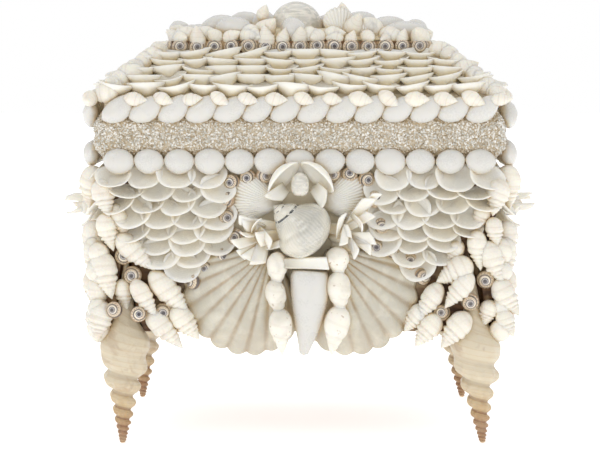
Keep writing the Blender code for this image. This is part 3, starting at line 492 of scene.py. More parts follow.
def setting_tree():
    """Nodes that set a shell at each point, turned and sized as the point says, with a little chance."""
    if "set_shells" in bpy.data.node_groups:
        return bpy.data.node_groups["set_shells"]
    tree, inputs, output = start_tree("set_shells", (
        ("Places", "NodeSocketGeometry"), ("Shell", "NodeSocketObject"), ("Finish", "NodeSocketMaterial"),
        ("Turn spread", "NodeSocketFloat"), ("Size spread", "NodeSocketFloat"), ("Seed", "NodeSocketInt"),
    ))
    links = tree.links
    seed = inputs.outputs["Seed"]
    turn = node(tree, "GeometryNodeInputNamedAttribute", data_type="FLOAT_VECTOR")
    turn.inputs["Name"].default_value = "turn"
    scale = node(tree, "GeometryNodeInputNamedAttribute", data_type="FLOAT_VECTOR")
    scale.inputs["Name"].default_value = "scale"
    to_rotation = node(tree, "FunctionNodeEulerToRotation")
    links.new(socket(turn.outputs, "Attribute"), to_rotation.inputs[0])
    wobble = node(tree, "ShaderNodeVectorMath", operation="SCALE")
    links.new(random_value(tree, seed, (-1, -1, -1), (1, 1, 1), "FLOAT_VECTOR"), wobble.inputs[0])
    links.new(inputs.outputs["Turn spread"], wobble.inputs["Scale"])
    wobble_turn = node(tree, "FunctionNodeEulerToRotation")
    links.new(wobble.outputs[0], wobble_turn.inputs[0])
    turned = node(tree, "FunctionNodeRotateRotation", rotation_space="LOCAL")
    links.new(to_rotation.outputs[0], turned.inputs[0])
    links.new(wobble_turn.outputs[0], turned.inputs[1])
    more = node(tree, "ShaderNodeMath", operation="MULTIPLY_ADD")
    links.new(random_value(tree, seed, -1.0, 1.0), more.inputs[0])
    links.new(inputs.outputs["Size spread"], more.inputs[1])
    more.inputs[2].default_value = 1
    scaled = node(tree, "ShaderNodeVectorMath", operation="SCALE")
    links.new(socket(scale.outputs, "Attribute"), scaled.inputs[0])
    links.new(more.outputs[0], scaled.inputs["Scale"])
    shell = node(tree, "GeometryNodeObjectInfo")
    links.new(inputs.outputs["Shell"], shell.inputs["Object"])
    copies = node(tree, "GeometryNodeInstanceOnPoints")
    links.new(inputs.outputs["Places"], copies.inputs["Points"])
    links.new(shell.outputs["Geometry"], copies.inputs["Instance"])
    links.new(turned.outputs[0], copies.inputs["Rotation"])
    links.new(scaled.outputs[0], copies.inputs["Scale"])
    end_tree(tree, copies.outputs[0], inputs, output, seed)
    return tree


def strewing_tree():
    """Nodes that strew chips over a surface and keep the surface under them."""
    if "strew_chips" in bpy.data.node_groups:
        return bpy.data.node_groups["strew_chips"]
    tree, inputs, output = start_tree("strew_chips", (
        ("Surface", "NodeSocketGeometry"), ("Chip", "NodeSocketObject"), ("Finish", "NodeSocketMaterial"),
        ("Density", "NodeSocketFloat"), ("Seed", "NodeSocketInt"),
    ))
    links = tree.links
    seed = inputs.outputs["Seed"]
    spots = node(tree, "GeometryNodeDistributePointsOnFaces", distribute_method="RANDOM")
    links.new(inputs.outputs["Surface"], spots.inputs["Mesh"])
    links.new(inputs.outputs["Density"], socket(spots.inputs, "Density"))
    links.new(seed, spots.inputs["Seed"])
    chip = node(tree, "GeometryNodeObjectInfo")
    links.new(inputs.outputs["Chip"], chip.inputs["Object"])
    copies = node(tree, "GeometryNodeInstanceOnPoints")
    links.new(spots.outputs["Points"], copies.inputs["Points"])
    links.new(chip.outputs["Geometry"], copies.inputs["Instance"])
    turn = node(tree, "FunctionNodeEulerToRotation")
    links.new(random_value(tree, seed, (0, 0, 0), (math.tau,) * 3, "FLOAT_VECTOR"), turn.inputs[0])
    links.new(turn.outputs[0], copies.inputs["Rotation"])
    links.new(random_value(tree, seed, (0.5,) * 3, (1.25,) * 3, "FLOAT_VECTOR"), copies.inputs["Scale"])
    end_tree(tree, copies.outputs[0], inputs, output, seed, inputs.outputs["Surface"])
    return tree


def evaluated_with(obj, tree, values):
    """The plain mesh that a tree makes of an object, with the tree's inputs set by identifier."""
    modifier = obj.modifiers.new(tree.name, "NODES")
    modifier.node_group = tree
    for item in tree.interface.items_tree:
        if item.in_out == "INPUT" and item.name in values:
            modifier[item.identifier] = values[item.name]
    bpy.context.view_layer.update()
    mesh = plain_mesh(obj, obj.name)
    for name in ("turn", "scale"):
        if name in mesh.attributes:
            mesh.attributes.remove(mesh.attributes[name])
    mesh.shade_smooth()
    obj.modifiers.clear()
    obj.data = mesh
    return obj


def new_object(name, mesh):
    obj = bpy.data.objects.new(name, mesh)
    bpy.context.scene.collection.objects.link(obj)
    return obj


def set_shells(name, shell, places, finish, turn_spread=0.0, size_spread=0.0, seed=1):
    """Copies of one shell, in a finish by name. Each place is (frame, scale), a number or three.

    Turn spread is in degrees, and size spread is a share of the size.
    """
    points = bpy.data.meshes.new(name)
    points.from_pydata([tuple(place.to_translation()) for place, _ in places], [], [])
    turns = points.attributes.new("turn", "FLOAT_VECTOR", "POINT")
    scales = points.attributes.new("scale", "FLOAT_VECTOR", "POINT")
    for i, (place, scale) in enumerate(places):
        turns.data[i].vector = place.to_3x3().normalized().to_euler()
        scales.data[i].vector = scale if isinstance(scale, (tuple, Vector)) else (scale, scale, scale)
    obj = new_object(name, points)
    pattern = new_object(name + "_pattern", shell)
    values = {
        "Shell": pattern, "Finish": finish_of(finish), "Turn spread": math.radians(turn_spread),
        "Size spread": size_spread, "Seed": seed,
    }
    evaluated_with(obj, setting_tree(), values)
    bpy.data.objects.remove(pattern)
    return obj


def single(name, shell, place, finish, scale=1):
    """One shell as an object of its own, with its place in its mesh."""
    mesh = shell.copy()
    mesh.transform(place @ Matrix.Diagonal((scale, scale, scale, 1)))
    mesh.materials.clear()
    mesh.materials.append(finish_of(finish))
    mesh.shade_smooth()
    return new_object(name, mesh)


def joined(name, objects):
    """One object from several, with their finishes kept."""
    objects = [obj for obj in objects if len(obj.data.polygons)]
    first = objects[0]
    if len(objects) > 1:
        with bpy.context.temp_override(
            active_object=first, object=first, selected_objects=objects, selected_editable_objects=objects
        ):
            bpy.ops.object.join()
    first.name = name
    first.data.name = name
    return first


def hand_over(obj, slot, *nodes):
    """Let a piece move with the box and stand for its solids. The slot is not used."""
    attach(obj, BODY)
    if nodes:
        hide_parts(*nodes)


# Finishes


def group(name, inputs, outputs):
    """A shader group with named inputs and outputs, and its first and last node."""
    tree = bpy.data.node_groups.new(name, "ShaderNodeTree")
    for label, kind, value in inputs:
        item = tree.interface.new_socket(label, in_out="INPUT", socket_type=kind)
        item.default_value = value
    for label, kind in outputs:
        tree.interface.new_socket(label, in_out="OUTPUT", socket_type=kind)
    return tree, node(tree, "NodeGroupInput"), node(tree, "NodeGroupOutput")


def maths(tree, operation, *values):
    made = node(tree, "ShaderNodeMath", operation=operation)
    for i, value in enumerate(values):
        if isinstance(value, (int, float)):
            made.inputs[i].default_value = value
        else:
            tree.links.new(value, made.inputs[i])
    return made.outputs[0]


def times(tree, first, second):
    return maths(tree, "MULTIPLY", first, second)


def plus(tree, first, second):
    return maths(tree, "ADD", first, second)


def blended(tree, share, first, second):
    """A colour between two, each a colour or a socket."""
    made = node(tree, "ShaderNodeMix", data_type="RGBA")
    for name, value in (("Factor", share), ("A", first), ("B", second)):
        where = socket(made.inputs, name)
        if isinstance(value, bpy.types.NodeSocket):
            tree.links.new(value, where)
        elif name == "Factor":
            where.default_value = value
        else:
            where.default_value = (*value[:3], 1)
    return socket(made.outputs, "Result")


def noise(tree, scale, detail=2.0, distortion=0.0, stretch=None):
    """Noise, drawn out along the axes where the stretch is small."""
    where = node(tree, "ShaderNodeTexCoord").outputs["Object"]
    if stretch:
        mapping = node(tree, "ShaderNodeMapping")
        mapping.inputs["Scale"].default_value = stretch
        tree.links.new(where, mapping.inputs["Vector"])
        where = mapping.outputs[0]
    made = node(tree, "ShaderNodeTexNoise")
    made.inputs["Scale"].default_value = scale
    made.inputs["Detail"].default_value = detail
    made.inputs["Distortion"].default_value = distortion
    tree.links.new(where, made.inputs["Vector"])
    return made.outputs[0]


def span(tree, value, low, high, to_low=0.0, to_high=1.0):
    """A value spread over a range, without going past its ends."""
    made = node(tree, "ShaderNodeMapRange", interpolation_type="SMOOTHSTEP")
    tree.links.new(value, made.inputs["Value"])
    for name, number in (("From Min", low), ("From Max", high), ("To Min", to_low), ("To Max", to_high)):
        made.inputs[name].default_value = number
    return made.outputs["Result"]


def shell_tone_group():
    """Cloudy colour, a chance tint for each shell, and old glue with painted shade in the gaps between
    shells, where ambient occlusion is deep.
    """
    if "shell_tone" in bpy.data.node_groups:
        return bpy.data.node_groups["shell_tone"]
    tree, inputs, output = group("shell_tone", (
        ("Colour", "NodeSocketColor", (0.8, 0.8, 0.8, 1)), ("Cloud", "NodeSocketColor", (0.7, 0.65, 0.55, 1)),
        ("Glue", "NodeSocketColor", (0.5, 0.4, 0.25, 1)), ("Cloudiness", "NodeSocketFloat", 0.5),
        ("Gap", "NodeSocketFloat", 0.7),
    ), (("Colour", "NodeSocketColor"), ("Roughness", "NodeSocketFloat"), ("Height", "NodeSocketFloat")))
    links = tree.links
    cloud = span(tree, noise(tree, 70, 4, 0.6), 0.42, 0.75)
    tint = node(tree, "ShaderNodeAttribute", attribute_name="tint").outputs["Fac"]
    uneven = plus(tree, times(tree, cloud, 0.75), times(tree, tint, 0.45))
    share = times(tree, uneven, inputs.outputs["Cloudiness"])
    clouded = blended(tree, share, inputs.outputs["Colour"], inputs.outputs["Cloud"])
    # Painted shade: where ambient occlusion is deep, in the gaps and creases between shells, the colour is
    # drawn towards the glue colour
    hollow = node(tree, "ShaderNodeAmbientOcclusion", samples=6)
    hollow.inputs["Distance"].default_value = 11 * MM
    deep = times(tree, span(tree, hollow.outputs["AO"], 0.75, 0.12), inputs.outputs["Gap"])
    links.new(blended(tree, deep, clouded, inputs.outputs["Glue"]), output.inputs["Colour"])
    fine = noise(tree, 900, 3)
    rough = plus(tree, times(tree, fine, 0.18), times(tree, cloud, 0.12))
    links.new(rough, output.inputs["Roughness"])
    links.new(plus(tree, fine, times(tree, noise(tree, 260, 2), 2)), output.inputs["Height"])
    return tree


def whorl_lines_group():
    """Masks along a coiled shell: its seam, its spiral bands and its growth lines."""
    if "whorl_lines" in bpy.data.node_groups:
        return bpy.data.node_groups["whorl_lines"]
    tree, inputs, output = group("whorl_lines", (
        ("Seam width", "NodeSocketFloat", 0.12), ("Bands", "NodeSocketFloat", 4.0),
        ("Growth lines", "NodeSocketFloat", 30.0),
    ), (("Seam", "NodeSocketFloat"), ("Band", "NodeSocketFloat"), ("Growth", "NodeSocketFloat"),
        ("Whorl", "NodeSocketFloat")))
    links = tree.links
    uv = node(tree, "ShaderNodeUVMap", uv_map="shell")
    parts = node(tree, "ShaderNodeSeparateXYZ")
    links.new(uv.outputs[0], parts.inputs[0])
    turn, whorl = parts.outputs[0], parts.outputs[1]
    wander = times(tree, noise(tree, 400, 2), 0.05)
    phase = maths(tree, "FRACT", plus(tree, maths(tree, "SUBTRACT", whorl, turn), wander))
    edge = maths(tree, "ABSOLUTE", maths(tree, "SUBTRACT", times(tree, phase, 2), 1))
    seam = maths(tree, "GREATER_THAN", edge, maths(tree, "SUBTRACT", 1, inputs.outputs["Seam width"]))
    links.new(seam, output.inputs["Seam"])
    band = maths(tree, "SINE", times(tree, times(tree, phase, inputs.outputs["Bands"]), math.tau))
    links.new(band, output.inputs["Band"])
    along = plus(tree, times(tree, turn, inputs.outputs["Growth lines"]), times(tree, phase, 1.5))
    growth = maths(tree, "SINE", times(tree, along, math.tau))
    links.new(growth, output.inputs["Growth"])
    links.new(whorl, output.inputs["Whorl"])
    return tree


class Finish:
    """A material on the way: its tree, its shader and the tone group that colours it."""

    def __init__(self, name, roughness, coat=0.0, metallic=0.0, glow=0.3):
        self.material = bpy.data.materials.new("finish_" + name)
        self.material.use_nodes = True
        self.tree = self.material.node_tree
        self.shader = self.tree.nodes["Principled BSDF"]
        self.shader.inputs["Coat Weight"].default_value = coat
        self.shader.inputs["Coat Roughness"].default_value = 0.12
        self.shader.inputs["Metallic"].default_value = metallic
        self.shader.inputs["Subsurface Weight"].default_value = glow
        self.shader.inputs["Subsurface Radius"].default_value = (1.0, 0.75, 0.45)
        self.shader.inputs["Subsurface Scale"].default_value = 6 * MM
        self.roughness = roughness

    def tone(self, colour_or_socket, cloud, cloudiness=0.5, gap=0.7, bump=0.12, relief=None):
        """Send a colour, its clouds, and the glue with painted shade in its gaps, to the shader."""
        tree, links = self.tree, self.tree.links
        tone = node(tree, "ShaderNodeGroup", node_tree=shell_tone_group())
        if isinstance(colour_or_socket, bpy.types.NodeSocket):
            links.new(colour_or_socket, tone.inputs["Colour"])
        else:
            tone.inputs["Colour"].default_value = (*colour_or_socket, 1)
        tone.inputs["Cloud"].default_value = (*cloud, 1)
        tone.inputs["Glue"].default_value = (*bpy.context.scene.shell_colours.glue_and_gap_shade, 1)
        tone.inputs["Cloudiness"].default_value = cloudiness
        tone.inputs["Gap"].default_value = gap
        links.new(tone.outputs["Colour"], self.shader.inputs["Base Color"])
        roughness = plus(tree, tone.outputs["Roughness"], self.roughness - 0.1)
        links.new(roughness, self.shader.inputs["Roughness"])
        bumps = node(tree, "ShaderNodeBump")
        bumps.inputs["Strength"].default_value = bump
        bumps.inputs["Distance"].default_value = 0.6 * MM
        height = tone.outputs["Height"]
        if relief is not None:
            height = plus(tree, height, relief)
        links.new(height, bumps.inputs["Height"])
        links.new(bumps.outputs[0], self.shader.inputs["Normal"])
        return self.material

    def uv(self):
        """The two shares of the shell's own map: across or round it, and along it."""
        coordinates = node(self.tree, "ShaderNodeUVMap", uv_map="shell")
        parts = node(self.tree, "ShaderNodeSeparateXYZ")
        self.tree.links.new(coordinates.outputs[0], parts.inputs[0])
        return parts.outputs[0], parts.outputs[1]

    def whorls(self, seam_width, bands, growth_lines):
        lines = node(self.tree, "ShaderNodeGroup", node_tree=whorl_lines_group())
        lines.inputs["Seam width"].default_value = seam_width
        lines.inputs["Bands"].default_value = bands
        lines.inputs["Growth lines"].default_value = growth_lines
        return lines.outputs


def porcelain_finish(colours):
    finish = Finish("porcelain", 0.28, coat=0.35)
    return finish.tone(colours.porcelain, colours.whelk, cloudiness=0.2, gap=0.75, bump=0.03)


def cup_finish(colours):
    """Thin hanging cups: greenish and glassy inside, whiter at the lip."""
    finish = Finish("cup", 0.26, coat=0.3)
    _, reach = finish.uv()
    rim = span(finish.tree, reach, 0.62, 1.0)
    tone = blended(finish.tree, rim, colours.cup_inside, colours.cup_rim)
    rings = maths(finish.tree, "SINE", times(finish.tree, reach, 60))
    return finish.tone(
        tone, colours.ivory, cloudiness=0.30, gap=0.42, bump=0.08,
        relief=times(finish.tree, rings, 0.4),
    )


def ivory_finish(colours):
    finish = Finish("ivory", 0.33, coat=0.2)
    _, reach = finish.uv()
    rim = span(finish.tree, reach, 0.55, 1.0)
    tone = blended(finish.tree, rim, colours.ivory, colours.cup_rim)
    return finish.tone(tone, colours.cup_inside, cloudiness=0.4, gap=0.55, bump=0.12)


def scallop_finish(colours):
    """Cream ribs with tan grooves that fade towards the margin, and fine growth rings."""
    finish = Finish("scallop", 0.48)
    tree = finish.tree
    across, reach = finish.uv()
    ribs = bpy.context.scene.shell_sizes.scallop_ribs
    crest = maths(tree, "ABSOLUTE", maths(tree, "SINE", times(tree, across, math.pi * ribs)))
    groove = span(tree, crest, 0.66, 0.12)
    fade = span(tree, reach, 1.05, 0.25, 0.42, 0.9)
    streak = span(tree, noise(tree, 55, 3), 0.3, 0.7, 0.55, 1.0)
    mask = times(tree, times(tree, groove, fade), streak)
    tone = blended(tree, mask, colours.cream, colours.groove)
    rings = maths(tree, "SINE", times(tree, maths(tree, "POWER", reach, 1.5), 210))
    return finish.tone(
        tone, colours.ivory, cloudiness=0.4, gap=0.8, bump=0.16,
        relief=times(tree, rings, 0.8),
    )


def ark_finish(colours):
    finish = Finish("ark", 0.42, coat=0.1)
    _, reach = finish.uv()
    rings = maths(finish.tree, "SINE", times(finish.tree, reach, 90))
    return finish.tone(
        colours.whelk, colours.ivory, cloudiness=0.5, gap=0.8, bump=0.14,
        relief=times(finish.tree, rings, 0.5),
    )


def whelk_finish(colours):
    """White conches with faint pink patches and a soft line in their seams."""
    finish = Finish("whelk", 0.42, coat=0.12)
    tree = finish.tree
    lines = finish.whorls(seam_width=0.16, bands=4.0, growth_lines=22.0)
    patch = times(tree, span(tree, noise(tree, 95, 2), 0.52, 0.72), 0.24)
    tone = blended(tree, patch, colours.whelk, colours.blush)
    tone = blended(tree, times(tree, lines["Seam"], 0.16), tone, colours.groove)
    height = plus(tree, times(tree, lines["Band"], 0.5), times(tree, lines["Growth"], 0.5))
    return finish.tone(tone, colours.ivory, cloudiness=0.5, gap=0.75, bump=0.22, relief=height)


def button_finish(colours):
    """Top shells: a cream outer whorl with tan dashes, worn to a grey spiral with a dark eye."""
    finish = Finish("button", 0.28, coat=0.3)
    tree = finish.tree
    lines = finish.whorls(seam_width=0.34, bands=2.0, growth_lines=15.0)
    whorl = lines["Whorl"]
    dash = times(tree, span(tree, lines["Growth"], -0.1, 0.5), span(tree, lines["Band"], 0.6, -0.4))
    rim = span(tree, whorl, 0.05, 0.22)
    tan = maths(tree, "MAXIMUM", times(tree, dash, 0.85), times(tree, rim, 0.7))
    tone = blended(tree, tan, colours.button_cream, colours.button_tan)
    ring = times(tree, span(tree, whorl, -0.70, -0.9), span(tree, whorl, -1.55, -1.35))
    tone = blended(tree, times(tree, ring, 0.6), tone, colours.cup_rim)
    worn = span(tree, whorl, -1.2, -1.6)
    centre = blended(tree, span(tree, whorl, -1.9, -2.8), colours.button_grey, colours.button_eye)
    tone = blended(tree, worn, tone, centre)
    tone = blended(tree, times(tree, lines["Seam"], 0.85), tone, colours.button_eye)
    return finish.tone(tone, colours.button_cream, cloudiness=0.18, gap=0.5, bump=0.12)


def leg_finish(colours):
    """Spindle shells, cream above and worn brown at the tip, with tan lines in their seams."""
    finish = Finish("leg", 0.45, coat=0.08)
    tree = finish.tree
    lines = finish.whorls(seam_width=0.22, bands=5.0, growth_lines=9.0)
    coordinates = node(tree, "ShaderNodeTexCoord")
    parts = node(tree, "ShaderNodeSeparateXYZ")
    tree.links.new(coordinates.outputs["Object"], parts.inputs[0])
    wander = times(tree, noise(tree, 90, 3), 14 * MM)
    height = plus(tree, parts.outputs[2], maths(tree, "SUBTRACT", wander, 7 * MM))
    tone = blended(tree, span(tree, height, 20 * MM, 56 * MM), colours.leg_gold, colours.leg_cream)
    tone = blended(tree, span(tree, height, 34 * MM, 8 * MM, 0, 0.75), tone, colours.leg_brown)
    seam = times(tree, lines["Seam"], span(tree, height, 50 * MM, 20 * MM, 0.08, 0.6))
    tone = blended(tree, seam, tone, colours.leg_brown)
    thin = times(tree, span(tree, lines["Band"], 0.7, 0.98), 0.32)
    tone = blended(tree, thin, tone, colours.leg_gold)
    streak = times(tree, span(tree, noise(tree, 60, 4, 1.5), 0.52, 0.72), 0.36)
    tone = blended(tree, streak, tone, colours.button_tan)
    relief = plus(tree, times(tree, lines["Band"], 0.9), times(tree, lines["Growth"], 0.4))
    return finish.tone(tone, colours.leg_cream, cloudiness=0.3, gap=0.5, bump=0.25, relief=relief)


def pearl_finish(colours):
    """Mother-of-pearl: silvery streaks across the body and a broken dark seam round the spire."""
    finish = Finish("pearl", 0.24, coat=0.5, metallic=0.12)
    tree = finish.tree
    lines = finish.whorls(seam_width=0.16, bands=7.0, growth_lines=52.0)
    wavering = plus(tree, lines["Growth"], times(tree, noise(tree, 150, 3), 4))
    streak = span(tree, wavering, 0.2, 3.2, 0.25, 1.0)
    tone = blended(tree, streak, colours.pearl_shade, colours.pearl)
    tone = blended(tree, span(tree, noise(tree, 45, 2), 0.40, 0.62, 0, 0.35), tone, colours.ivory)
    broken = maths(tree, "GREATER_THAN", noise(tree, 420, 2), 0.46)
    spire = span(tree, lines["Whorl"], -0.85, -1.0)
    dark = times(tree, times(tree, lines["Seam"], broken), spire)
    tone = blended(tree, dark, tone, colours.suture)
    return finish.tone(
        tone, colours.whelk, cloudiness=0.3, gap=0.5, bump=0.14,
        relief=times(tree, lines["Growth"], 0.4),
    )


def nacre_finish(colours):
    """The smooth pearly dome and drop, with soft long streaks."""
    finish = Finish("nacre", 0.22, coat=0.5, metallic=0.12)
    tree = finish.tree
    streak = noise(tree, 230, 3, 0.5, stretch=(0.22, 1.0, 1.6))
    tone = blended(tree, span(tree, streak, 0.36, 0.62), colours.pearl, colours.whelk)
    return finish.tone(tone, colours.cup_rim, cloudiness=0.3, gap=0.5, bump=0.05)


def tassel_finish(colours):
    """Cream conches with a few tan spots."""
    finish = Finish("tassel", 0.42, coat=0.12)
    tree = finish.tree
    lines = finish.whorls(seam_width=0.14, bands=4.0, growth_lines=18.0)
    spot = times(tree, span(tree, noise(tree, 240, 1), 0.66, 0.74), 0.6)
    tone = blended(tree, spot, colours.cup_rim, colours.groove)
    tone = blended(tree, times(tree, lines["Seam"], 0.08), tone, colours.groove)
    return finish.tone(
        tone, colours.cream, cloudiness=0.6, gap=0.6, bump=0.18,
        relief=times(tree, lines["Band"], 0.4),
    )


def shard_finish(colours):
    finish = Finish("shard", 0.38, coat=0.15)
    _, reach = finish.uv()
    tone = blended(finish.tree, span(finish.tree, reach, 0.0, 0.6), colours.cream, colours.cup_rim)
    return finish.tone(tone, colours.ivory, cloudiness=0.4, gap=0.85, bump=0.14)


def grit_finish(colours):
    """Crushed shell: each chip white, grey or tan by its own chance tint."""
    finish = Finish("grit", 0.45, glow=0.0)
    tree = finish.tree
    tint = node(tree, "ShaderNodeAttribute", attribute_name="tint").outputs["Fac"]
    tone = blended(tree, span(tree, tint, 0.50, 0.62), colours.chip_white, colours.chip_grey)
    tone = blended(tree, span(tree, tint, 0.84, 0.92), tone, colours.chip_tan)
    bed = maths(tree, "LESS_THAN", tint, 0.001)
    tone = blended(tree, bed, tone, colours.chip_tan)
    return finish.tone(tone, colours.chip_white, cloudiness=0.2, gap=0.85, bump=0.2)


def plastered(tree):
    """A mask for the outer skin of the lid and the middle of the long sides, plastered under their shells."""
    coordinates = node(tree, "ShaderNodeTexCoord")
    place, facing = node(tree, "ShaderNodeSeparateXYZ"), node(tree, "ShaderNodeSeparateXYZ")
    tree.links.new(coordinates.outputs["Object"], place.inputs[0])
    tree.links.new(coordinates.outputs["Normal"], facing.inputs[0])
    x, y = (maths(tree, "ABSOLUTE", place.outputs[i]) for i in (0, 1))
    end = maths(tree, "GREATER_THAN", x, HALF_WIDTH - 0.5 * MM)
    front = maths(tree, "GREATER_THAN", y, HALF_DEPTH - 0.5 * MM)
    upward = maths(tree, "GREATER_THAN", facing.outputs[2], 0.2)
    outer = maths(tree, "MAXIMUM", maths(tree, "MAXIMUM", end, front), upward)
    lid = maths(tree, "GREATER_THAN", place.outputs[2], BOX_TOP + 1.5 * MM)
    return times(tree, outer, maths(tree, "MAXIMUM", lid, span(tree, x, 100 * MM, 60 * MM)))


def wood_finish(colours):
    """Stained wood with long grain, and runs of old glue."""
    finish = Finish("wood", 0.55, glow=0.0)
    tree = finish.tree
    grain = noise(tree, 260, 5, 0.8, stretch=(0.12, 1, 1))
    tone = blended(tree, span(tree, grain, 0.38, 0.62), colours.wood, colours.wood_light)
    run = times(tree, span(tree, noise(tree, 45, 3, 1.0), 0.5, 0.68), 0.75)
    tone = blended(tree, run, tone, colours.leg_gold)
    tone = blended(tree, plastered(tree), tone, colours.plaster)
    return finish.tone(
        tone, colours.wood_light, cloudiness=0.15, gap=0.0, bump=0.3,
        relief=times(tree, grain, 1.5),
    )


def plaster_finish(colours):
    """The glue and plaster that the small shells are bedded in."""
    finish = Finish("plaster", 0.6)
    return finish.tone(colours.plaster, colours.glue_and_gap_shade, cloudiness=0.5, gap=0.4, bump=0.5)


FINISHES = {
    "porcelain": porcelain_finish, "cup": cup_finish, "ivory": ivory_finish, "scallop": scallop_finish,
    "ark": ark_finish, "whelk": whelk_finish, "button": button_finish, "leg": leg_finish,
    "pearl": pearl_finish, "nacre": nacre_finish, "shard": shard_finish, "tassel": tassel_finish,
    "grit": grit_finish, "wood": wood_finish, "plaster": plaster_finish,
}


def finish_of(name):
    """A finish by name, made the first time that it is asked for."""
    label = "finish_" + name
    if label not in bpy.data.materials:
        FINISHES[name](bpy.context.scene.shell_colours)
    return bpy.data.materials[label]


# Patterns of coiled shells

LEG_OUTLINE = (
    (0.0, 0.0), (0.004, 0.10), (0.057, 0.19), (0.127, 0.31), (0.198, 0.41), (0.268, 0.53), (0.34, 0.73),
    (0.41, 0.84), (0.46, 0.93), (0.503, 1.0), (0.545, 0.93), (0.587, 0.74), (0.65, 0.48), (0.72, 0.33),
    (0.82, 0.24), (1.0, 0.0),
)
SPINDLE_OUTLINE = (
    (0.0, 0.0), (0.03, 0.36), (0.12, 0.74), (0.26, 0.97), (0.42, 1.0), (0.58, 0.86), (0.74, 0.58),
    (0.88, 0.30), (1.0, 0.0),
)
WHELK_OUTLINE = (
    (0.0, 0.0), (0.04, 0.34), (0.18, 0.78), (0.38, 1.0), (0.56, 0.94), (0.72, 0.68), (0.88, 0.34), (1.0, 0.0),
)
MOON_OUTLINE = (
    (0.0, 0.0), (0.05, 0.42), (0.2, 0.8), (0.45, 1.0), (0.66, 0.92), (0.84, 0.55), (0.95, 0.25), (1.0, 0.0),
)
TURBAN_OUTLINE = (
    (0.0, 0.0), (0.04, 0.42), (0.15, 0.80), (0.33, 1.0), (0.50, 0.97), (0.66, 0.66), (0.78, 0.47),
    (0.89, 0.27), (1.0, 0.0),
)
BUTTON_OUTLINE = (
    (0.0, 0.0), (0.02, 0.72), (0.16, 0.96), (0.34, 0.98), (0.6, 0.8), (0.84, 0.48), (0.96, 0.2), (1.0, 0.0),
)
TOOTH_OUTLINE = (
    (0.0, 0.0), (0.012, 0.19), (0.05, 0.26), (0.20, 0.46), (0.45, 0.78), (0.70, 0.97), (0.88, 1.0),
    (0.97, 0.93), (0.995, 0.7), (1.0, 0.0),
)
DROP_OUTLINE = (
    (0.0, 0.0), (0.03, 0.45), (0.12, 0.80), (0.3, 0.98), (0.6, 0.98), (0.82, 0.80), (0.95, 0.42), (1.0, 0.0),
)
TASSEL_OUTLINE = (
    (0.0, 0.0), (0.04, 0.42), (0.16, 0.84), (0.34, 1.0), (0.52, 0.90), (0.68, 0.60), (0.84, 0.33), (1.0, 0.0),
)
SPINDLE_WIDTH = 16 * MM
SPINDLE_LENGTH = 36 * MM


def spindle_pattern():
    return spired_shell(
        "spindle", SPINDLE_LENGTH, SPINDLE_WIDTH, SPINDLE_OUTLINE, 1.34, 0.18, 24, 36, 0.40,
        knobs=9, knob=0.16, ribs=10, rib=0.025,
    )


def whelk_pattern():
    return spired_shell("whelk", 26 * MM, 16 * MM, WHELK_OUTLINE, 1.5, 0.10, 18, 22, 0.5, knobs=8, knob=0.07)


def small_whelk_pattern():
    """A whelk of few faces, for where many lie close together."""
    return spired_shell(
        "small_whelk", 25 * MM, 16 * MM, WHELK_OUTLINE, 1.5, 0.08, 12, 12, 0.5, knobs=6, knob=0.08
    )


def moon_pattern():
    return spired_shell("moon", 20 * MM, 19 * MM, MOON_OUTLINE, 2.0, 0.05, 20, 20, 0.55)


def button_pattern(sizes):
    return spired_shell(
        "button", sizes.button_height, sizes.button_width, BUTTON_OUTLINE, 1.9, 0.07, 20, 16, 0.12
    )


# The wood and the legs

LEG_TURN = 70
LEG_SPLAY = {"left": 0.03, "right": 0.085}


class SHELLBOX_OT_wood(bpy.types.Operator):
    """Give the box and the lid their stained wood"""

    bl_idname = "shellbox.wood"
    bl_label = "Wood"

    def execute(self, context):
        for name in ("box", "lid"):
            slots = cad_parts[name].material_slots
            for slot in slots:
                slot.material = finish_of("wood")
        return {"FINISHED"}


class SHELLBOX_OT_legs(bpy.types.Operator):
    """Stand the box on four spindle shells with their tips down"""

    bl_idname = "shellbox.legs"
    bl_label = "Legs"

    def execute(self, context):
        sizes = context.scene.shell_sizes
        length, width = sizes.leg_length, sizes.leg_width
        outline = [(1 - share, radius) for share, radius in reversed(LEG_OUTLINE)]
        shell = spired_shell(
            "leg", length, width, outline, 1.36, 0.30, 48, 130, 0.52,
            knobs=9, knob=0.20, knob_at=0.5, even=0.2,
        )
        for end in ("front", "back"):
            for hand, east in (("left", -1), ("right", 1)):
                self.stand(shell, f"leg_{end}_{hand}", east, east * LEG_SPLAY[hand])
        return {"FINISHED"}

    def stand(self, shell, name, east, splay):
        """Turn the shell tip down, and shear it so that it stands where its solid stands."""
        low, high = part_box(name)
        height = high.z - low.z
        mesh = shell.copy()
        flip = Matrix.Rotation(math.pi, 4, "Y") @ Matrix.Rotation(math.radians(LEG_TURN * east), 4, "Z")
        mesh.transform(Matrix.Translation((0, 0, height / 2)) @ flip)
        middle = Vector(((low.x + high.x) / 2, (low.y + high.y) / 2, 0))
        for vert in mesh.vertices:
            vert.co += middle + Vector((splay * (0.5 * height - vert.co.z), 0, 0))
            vert.co.z = max(vert.co.z, 0.0)
        obj = new_object("shell_" + name, mesh)
        obj.data.materials.append(finish_of("leg"))
        hand_over(obj, "leg_shell", name)


# Rows round the box and the lid

ROPE_PITCH = 21.5 * MM
ROPE_SLANT = 56
ROPE_DROP = 10.6 * MM
BEAD_PITCH = 22.5 * MM
BEAD_DROP = 18.8 * MM
END_ROW_OUT = 4.5 * MM
END_ROW_SHIFT = 5 * MM


